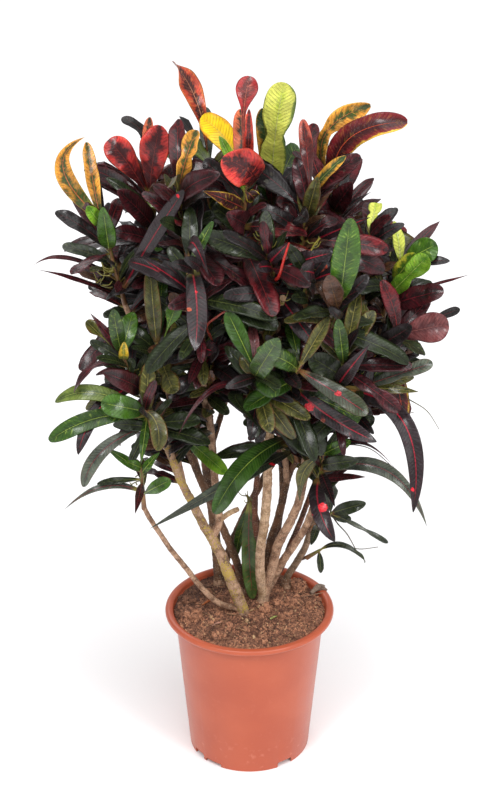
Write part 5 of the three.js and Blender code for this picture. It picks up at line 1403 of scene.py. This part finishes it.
def soil_finish():
    """Reddish coir: each crumb has its tone, with dark pits, pale chips and a fine grain."""
    material, tree, shader = new_material("coir soil", Roughness=0.95)
    tone = mark(tree, "tone")
    place = put(tree, "ShaderNodeTexCoord", out=3)
    cloud = noise(place, 45.0, 3.0)
    grain = noise(place, 700.0, 3.0)
    speck = noise(place, 260.0, 4.0) - 0.5
    colour = mixed((tone + speck * 1.1).spread(0.05, 0.8), paint((92, 60, 48)), paint((200, 142, 108)))
    colour = mixed(cloud.spread(0.42, 0.66) * 0.55, colour, paint((104, 66, 50)))
    colour = mixed(tone.spread(0.955, 0.975), colour, paint((206, 170, 128)))
    colour = mixed(grain.spread(0.5, 0.72) * 0.7, colour, paint((66, 42, 34)))
    east, north = part_of(place, 0), part_of(place, 1)
    # Darker towards the back left of the bed.
    back_left_dark = (north - east + (cloud - 0.5) * 0.12).spread(0.04, 0.13)
    colour = mixed(back_left_dark * 0.6, colour, paint((58, 40, 36)))
    join(colour, shader["Base Color"])
    join(bumped(tree, grain + cloud, 0.0015), shader["Normal"])
    return material


def pot_finish():
    """Satin terracotta plastic with a faint cloud, rubbed paler near the foot and dusty under the lip."""
    material, tree, shader = new_material(
        "terracotta plastic", Specular_IOR_Level=0.35, Coat_Weight=0.26, Coat_Roughness=0.24
    )
    place = put(tree, "ShaderNodeTexCoord", out=3)
    high = part_of(place, 2)
    cloud = noise(place, 14.0, 3.0)
    grain = noise(place, 900.0, 2.0)
    colour = mixed(cloud.spread(0.35, 0.7), paint((181, 86, 56)), paint((173, 79, 51)))
    scuff = noise(place, 110.0, 4.0).spread(0.58, 0.74) * high.spread(0.0, 0.07, 0.35, 0.05)
    colour = mixed(scuff, colour, paint((222, 148, 124)))
    dust = noise(place, 60.0, 4.0).spread(0.5, 0.75) * high.spread(0.206, 0.226, 0.0, 0.25)
    colour = mixed(dust, colour, paint((168, 100, 74)))
    join(colour, shader["Base Color"])
    join(cloud * 0.14 + grain * 0.06 + scuff * 0.2 + 0.30, shader["Roughness"])
    join(bumped(tree, grain + cloud * 0.6, 0.00012), shader["Normal"])
    return material


# ---- the pot and its soil ----


def corner_cut(before, corner, after, reach, shares):
    """Points of a curve that leaves a corner out, "reach" before and after it."""
    middle = np.array(corner[:2], float)
    start, end = (middle + unit(np.array(other[:2], float) - middle) * reach for other in (before, after))
    return [tuple(start * (1 - t) ** 2 + middle * 2 * t * (1 - t) + end * t**2) for t in shares]


def rounded(corners):
    """A profile of (radius, height, rounding) corners with each corner drawn as a short curve."""
    points = [corners[0][:2]]
    for before, corner, after in zip(corners, corners[1:], corners[2:]):
        points += corner_cut(before, corner, after, corner[2], (0, 0.25, 0.5, 0.75, 1))
    return points + [corners[-1][:2]]


def turned_strand(profile):
    """A turned shape as one strand on the axis, whose half width is the radius."""
    radius, high = np.array(profile, float).T
    points = np.stack([0 * high, 0 * high, high], axis=1)
    strands = Strands()
    strands.add(points, (1, 0, 0), (0, 1, 0), radius, 2 * radius, np.linspace(0, 1, len(high)), fine=1)
    return strands


def notch_outline(wide, high, turn=2.5):
    """The outline of a notch's cutter, as (x, z), with its upper corners rounded off."""
    corners = [(-wide / 2, -high / 2), (-wide / 2, high / 2), (wide / 2, high / 2), (wide / 2, -high / 2)]
    points = [corners[0]]
    for three in (corners[0:3], corners[1:4]):
        points += corner_cut(*three, turn, (0, 0.3, 0.6, 1))
    return points + [corners[3]]


def notch_cutters():
    """An object with a prism across the foot ring for each notch."""
    cutters = bmesh.new()
    for bearing, width, high in NOTCHES:
        chord = 2 * POT.foot * math.tan(math.radians(width / 2))
        cos, sin = math.cos(math.radians(bearing)), math.sin(math.radians(bearing))
        ring = []
        for x, z in notch_outline(chord, 2 * high):
            for depth in (-3 * POT.wall, 3 * POT.wall):
                y = depth - (POT.foot - POT.wall / 2)
                ring.append(cutters.verts.new(np.array((x * cos - y * sin, x * sin + y * cos, z)) * MM))
        front, back = ring[0::2], ring[1::2]
        for k in range(len(front)):
            m = (k + 1) % len(front)
            cutters.faces.new([front[k], front[m], back[m], back[k]])
        cutters.faces.new(front)
        cutters.faces.new(back[::-1])
    bmesh.ops.recalc_face_normals(cutters, faces=cutters.faces)
    mesh = bpy.data.meshes.new("notches")
    cutters.to_mesh(mesh)
    cutters.free()
    cutter = bpy.data.objects.new("notches", mesh)
    SCENE.collection.objects.link(cutter)
    return cutter


def make_pot(strand, finish):
    """The pot, turned on its axis, with the notches cut out of its foot."""
    inner_foot = POT.foot - POT.wall + 0.6
    profile = rounded([
        (0.4, 0, 0), (POT.pad, 0, 1.2), (POT.pad + 2, POT.channel, 1),
        (POT.foot - POT.wall - 2, POT.channel, 1), (POT.foot - POT.wall, 0, 0.8), (POT.foot, 0, 1.1),
        (POT.shoulder, POT_STEP, 2), (POT.shoulder + 2, POT_UNDER, 1.2), (POT.lip - 2, POT_UNDER, 1.4),
        (POT.lip, POT_UNDER + 3, 1.6), (POT.lip - 1.2, POT.high - 1.6, 2.4), (POT.mouth + 4, POT.high, 2.6),
        (POT.mouth, POT.high - 2.6, 1.8), (POT.mouth - 0.6, POT_UNDER + 1, 1),
        (POT.shoulder - POT.wall, POT_STEP, 2), (inner_foot, SOIL_FLOOR, 3), (0.4, SOIL_FLOOR, 0),
    ])
    turned = turned_strand(profile).mesh("pot")
    pot = made("pot_shell", turned, strand, **{"Fine sides": 160, "Finish": finish})
    cutter = notch_cutters()
    cut = pot.modifiers.new("cut", "BOOLEAN")
    cut.operation, cut.object, cut.solver = "DIFFERENCE", cutter, "EXACT"
    baked(pot)
    bpy.data.objects.remove(cutter)
    pot.data.set_sharp_from_angle(angle=math.radians(32))
    return settle(pot, "pot", "pot")


class Bed:
    """The bed's mesh in the making. "top" is 1 where it is heaved, and "tone" is its shade."""

    segments = 120
    plain = 0.3  # tone

    def __init__(self):
        self.mesh = bmesh.new()
        self.top = self.mesh.verts.layers.float.new("top")
        self.tone = self.mesh.verts.layers.float.new("tone")

    def marked(self, vertex, heaved, tone=plain):
        vertex[self.top], vertex[self.tone] = heaved, tone
        return vertex

    def ring(self, radius, high, heaved):
        turns = [2 * math.pi * k / self.segments for k in range(self.segments)]
        places = [(radius * math.cos(turn) * MM, radius * math.sin(turn) * MM, high * MM) for turn in turns]
        return [self.marked(self.mesh.verts.new(place), heaved) for place in places]

    def join(self, lower, upper):
        for k in range(self.segments):
            m = (k + 1) % self.segments
            self.mesh.faces.new([lower[k], upper[k], upper[m], lower[m]])

    def close(self, ring, high, heaved):
        middle = self.marked(self.mesh.verts.new((0, 0, high * MM)), heaved)
        for k in range(self.segments):
            self.mesh.faces.new([middle, ring[k], ring[(k + 1) % self.segments]])

    def add_clod(self, pixel, radius, rise):
        """A dented lump."""
        size = Vector((radius, radius * 0.8, rise)) * MM
        shape = Matrix.LocRotScale(Vector(on_soil(pixel) * MM), None, size)
        for vertex in bmesh.ops.create_icosphere(self.mesh, subdivisions=4, radius=1, matrix=shape)["verts"]:
            self.marked(vertex, 1, 0.5)
            coarse, fine = (mathutils.noise.noise(vertex.co * scale) for scale in (190, 600))
            vertex.co += (vertex.co - shape.translation) * (coarse * 0.5 + fine * 0.2)

    def finished(self):
        bmesh.ops.recalc_face_normals(self.mesh, faces=self.mesh.faces)
        mesh = bpy.data.meshes.new("bed")
        self.mesh.to_mesh(mesh)
        self.mesh.free()
        return mesh


def make_soil(bed_shape, crumbs, finish):
    """The bed with its clods, and its crumbs."""
    rings = 44
    edge = POT.mouth - 1.2
    low, middle = SOIL_FLOOR + 0.4, SOIL_MIDDLE - 1.2
    bed = Bed()
    loops = []
    for k in range(1, rings + 1):
        radius = edge * (k / rings) ** 0.8
        slope = min(max((radius - SOIL_SLOPE) / (edge - SOIL_SLOPE), 0), 1)
        loops.append(bed.ring(radius, middle + (SOIL_EDGE - SOIL_MIDDLE) * slope, 1))
    loops.append(bed.ring(POT.shoulder - POT.wall - 0.5, POT_STEP, 0))
    loops.append(bed.ring(POT.foot - POT.wall, low, 0))
    for lower, upper in zip(loops, loops[1:]):
        bed.join(lower, upper)
    bed.close(loops[0], middle, 1)
    bed.close(loops[-1], low, 0)
    for clod in CLODS:
        bed.add_clod(*clod)
    soil = settle(made("soil_bed", bed.finished(), bed_shape, Finish=finish), "soil", "soil")
    add_crumbs(soil, crumbs, finish)


def add_crumbs(soil, crumbs, finish):
    """Crumbs and lumps on the part of the bed that shows, but not on its steepest faces."""
    lowest, steepest = (SOIL_EDGE - 5) * MM, 0.2
    for name, count, least, most, seed in CRUMBS:
        cover = bmesh.new()
        cover.from_mesh(soil.data)
        bare = [
            face for face in cover.faces
            if face.calc_center_median().z < lowest or face.normal.z < steepest
        ]
        bmesh.ops.delete(cover, geom=bare, context="FACES")
        scattered = bpy.data.meshes.new(name)
        cover.to_mesh(scattered)
        cover.free()
        sizes = {"Per square metre": count, "Smallest": least, "Largest": most, "Seed": seed}
        settle(made(name, scattered, crumbs, Finish=finish, **sizes), "soil")


def add_fibres(strands, count=120):
    """Fibres that wander over the soil."""
    draw = draws(SEED + 77)
    for _ in range(count):
        bearing, out, way = 2 * math.pi * next(draw), 98 * next(draw) ** 0.5, 2 * math.pi * next(draw)
        place = np.array([out * math.cos(bearing), out * math.sin(bearing), SOIL_MIDDLE + 1 - 3 * (out > 90)])
        points = [place]
        for _ in range(4):
            way += 1.6 * (next(draw) - 0.5)
            place = place + (math.cos(way) * 5, math.sin(way) * 5, 2.6 * (next(draw) - 0.45))
            if math.hypot(*place[:2]) < POT.mouth - 3:
                points.append(place)
        if len(points) > 2:
            ground = linear((78, 52, 40) if next(draw) > 0.45 else (176, 134, 100))
            radius = 0.3 + 0.4 * next(draw)
            radii = radius, radius * 0.5
            add_round(strands, points, radii, ground=ground, second=ground * 0.7, traits=(0, 0.2, 0))


def make_litter(strand, finish):
    """Chips, bits of root and fibres on the soil."""
    strands = Strands()
    for *pixels, radius, colour in LITTER:
        start, end = (on_soil(pixel, SOIL_MIDDLE + 2.5) for pixel in pixels)
        middle = (start + end) / 2 + (0.8, 0, radius * 0.8)
        ground = linear(colour)
        add_round(
            strands, [start, middle, end], (radius * 0.5, radius, radius * 0.4), 1.5, ground=ground,
            second=ground * 0.6, traits=(0, 0.3, 0), fine=1,
        )
    add_fibres(strands)
    settle(made("soil_litter", strands.mesh("litter"), strand, Sides=5, Finish=finish), "soil")


# ---- the plant ----


def make_woods(branches, strand, finish):
    """The woody stems of each stump, with the stump."""
    for node, centre in STOCKS.items():
        strands = Strands()
        stump = [np.array([*centre, high], float) for high in (162, 190, 214, 222, 228, 234)]
        add_round(strands, stump, (12, 12, 10.5, 9, 7.6, 6), **bark_fields("tan"))
        for number, branch in enumerate(branches):
            if branch.node == node:
                radii = np.linspace(*branch.wide, len(branch.points))
                fine = float(branch.wide[0] > 4.9)
                fields = bark_fields(branch.bark)
                add_round(strands, branch.points, radii, phase=number * 0.37, fine=fine, **fields)
        sizes = {"Sides": 10, "Fine sides": 14, "Lump": 0.2, "Lumps per metre": 110, "Scar": 0.06}
        settle(made(node + "_bark", strands.mesh(node), strand, Finish=finish, **sizes), "bark", node)


def fill_canopy(plant, branches):
    """Gives the shoots more leaves where there is room."""
    room = Room(branches)
    for shoot in plant:
        for leaf, _, stands_out in shoot.own:
            room.add(leaf, stands_out)
    perches = {shoot.name: perches_of(shoot) for shoot in plant}
    for i in range(MOST_FILLING):
        for shoot in plant:
            if i > FILLING_PER_LEAF * shoot.leaves:
                continue
            for turn in TURNS[::3]:
                leaf, look = filling_leaf(shoot, perches[shoot.name], i, turn)
                if room.fits(leaf):
                    room.add(leaf, False)
                    shoot.own.append((leaf, look, False))
                    break


def make_shoots(branches, strand, finish):
    """The leafy shoots: a green stem and its leaves."""
    plant = list(shoots(branches))
    for shoot in plant:
        shoot.own = leaves_of(shoot)
    fill_canopy(plant, branches)
    ground, second = (linear(colour) for colour in YOUNG_STEM)
    green = dict(
        ground=ground, second=second, rib=second, margin=ground, traits=(0.5, 0.4, 0), extras=(0.9, 0, 0)
    )
    for shoot in plant:
        strands = Strands()
        seed = shoot.number * 0.173
        way = shoot.tip - shoot.end
        stem = [shoot.end - shoot.axis * 3, shoot.end + way * 0.4, shoot.tip, shoot.tip + shoot.axis * 5]
        add_round(strands, stem, (3.7, 3.1, 2.1, 0.7), seed=seed % 1, **green)
        for i, (leaf, look, fine) in enumerate(shoot.own):
            add_leaf(strands, leaf, look, fine, (seed + i * 0.381) % 1)
        leaves = made(shoot.name + "_leaves", strands.mesh(shoot.name), strand, Finish=finish)
        settle(leaves, "leaf_" + shoot.tint, shoot.name)


def make_stalks(strand, finish):
    """Bare stalks in tufts, tendrils and cut twigs."""
    strands = Strands()
    edge = linear((150, 130, 80))
    plain = dict(rib=edge, margin=edge, traits=(0.5, 0.4, 0), extras=(0.9, 0, 0))
    draw = draws(SEED + 88)
    for pixel, deep, count in TUFTS:
        foot = seen(pixel, deep)
        for k in range(count):
            bearing = math.radians(GOLDEN * k) + next(draw)
            lift = math.radians(-25 + 90 * next(draw))
            way = np.array([math.cos(bearing), 0.6 * math.sin(bearing), 0]) * math.cos(lift)
            long = 9 + 9 * next(draw)
            start = foot + (4 * (next(draw) - 0.5), 0, 10 * (next(draw) - 0.5))
            end = start + way * long + (0, 0, long * math.sin(lift))
            bend = (start + end) / 2 + way * 2 - (0, 0, 2.4)
            ground = linear((160, 152, 72)) * (0.5 + 0.6 * next(draw))
            add_round(strands, [start, bend, end], (0.9, 0.5), ground=ground, second=ground * 0.8, **plain)
    for route, radii, colour in TENDRILS:
        points = [seen(place[:2], place[2]) for place in route]
        ground = linear(colour)
        add_round(strands, points, radii, ground=ground, second=ground * 0.8, **plain)
    settle(made("bare_stalks", strands.mesh("stalks"), strand, Sides=6, Finish=finish), "leaf_green")


# ---- floor, light and camera ----

# Name, kind, place and aim in metres, size across in metres or radians, and strength.
LAMPS = [
    ("sky", "SUN", (0.45, -1.5, 3.0), (0, 0, 0), math.radians(70), 2.15),
    ("key", "AREA", (-1.1, -2.1, 2.7), (0, 0, 0.6), 0.8, 27),
    ("fill", "AREA", (1.6, -1.9, 2.0), (0, 0, 0.5), 0.8, 21),
    ("back", "AREA", (-0.9, 2.3, 2.2), (0, 0, 0.5), 1.0, 9),
]


def make_studio():
    """The pale floor, the lamps and the photograph's camera."""
    floor_mesh = bpy.data.meshes.new("floor")
    floor_mesh.from_pydata([(-14, -6, 0), (14, -6, 0), (14, 16, 0), (-14, 16, 0)], [], [(0, 1, 2, 3)])
    floor = bpy.data.objects.new("floor", floor_mesh)
    SCENE.collection.objects.link(floor)
    material = new_material("pale floor", Base_Color=paint((252, 251, 252)), Roughness=0.9)[0]
    floor_mesh.materials.append(material)

    # The world is white to the camera and lights the plant at half that strength.
    world = bpy.data.worlds.new("studio")
    SCENE.world = world
    world.use_nodes = True
    background = world.node_tree.nodes["Background"].inputs
    background["Color"].default_value = (1, 1, 1, 1)
    join(put(world.node_tree, "ShaderNodeLightPath", out=0) * 0.5 + 0.5, background["Strength"])
    for name, kind, place, aim, size, power in LAMPS:
        lamp = bpy.data.lights.new(name, kind)
        lamp.energy = power
        if kind == "SUN":
            lamp.angle = size
        else:
            lamp.shape, lamp.size = "DISK", size
        light = bpy.data.objects.new(name, lamp)
        SCENE.collection.objects.link(light)
        light.location = place
        light.rotation_euler = (Vector(aim) - Vector(place)).to_track_quat("-Z", "Y").to_euler()

    camera = bpy.data.objects.new("camera", bpy.data.cameras.new("camera"))
    SCENE.collection.objects.link(camera)
    camera.location = EYE * MM
    camera.rotation_euler = (math.pi / 2 - PITCH, 0, 0)
    camera.data.lens = camera.data.sensor_width * FOCAL / (2 * CENTRE[1])
    camera.data.clip_end = 60
    SCENE.camera = camera
    SCENE.view_settings.view_transform = "Standard"


strand = strand_tree()
make_studio()
make_pot(strand, pot_finish())
make_soil(bed_tree(), crumb_tree(), soil_finish())
bark, leaf = bark_finish(), leaf_finish()
make_litter(strand, bark)
branches = list(woods())
make_woods(branches, strand, bark)
make_shoots(branches, strand, leaf)
make_stalks(strand, leaf)
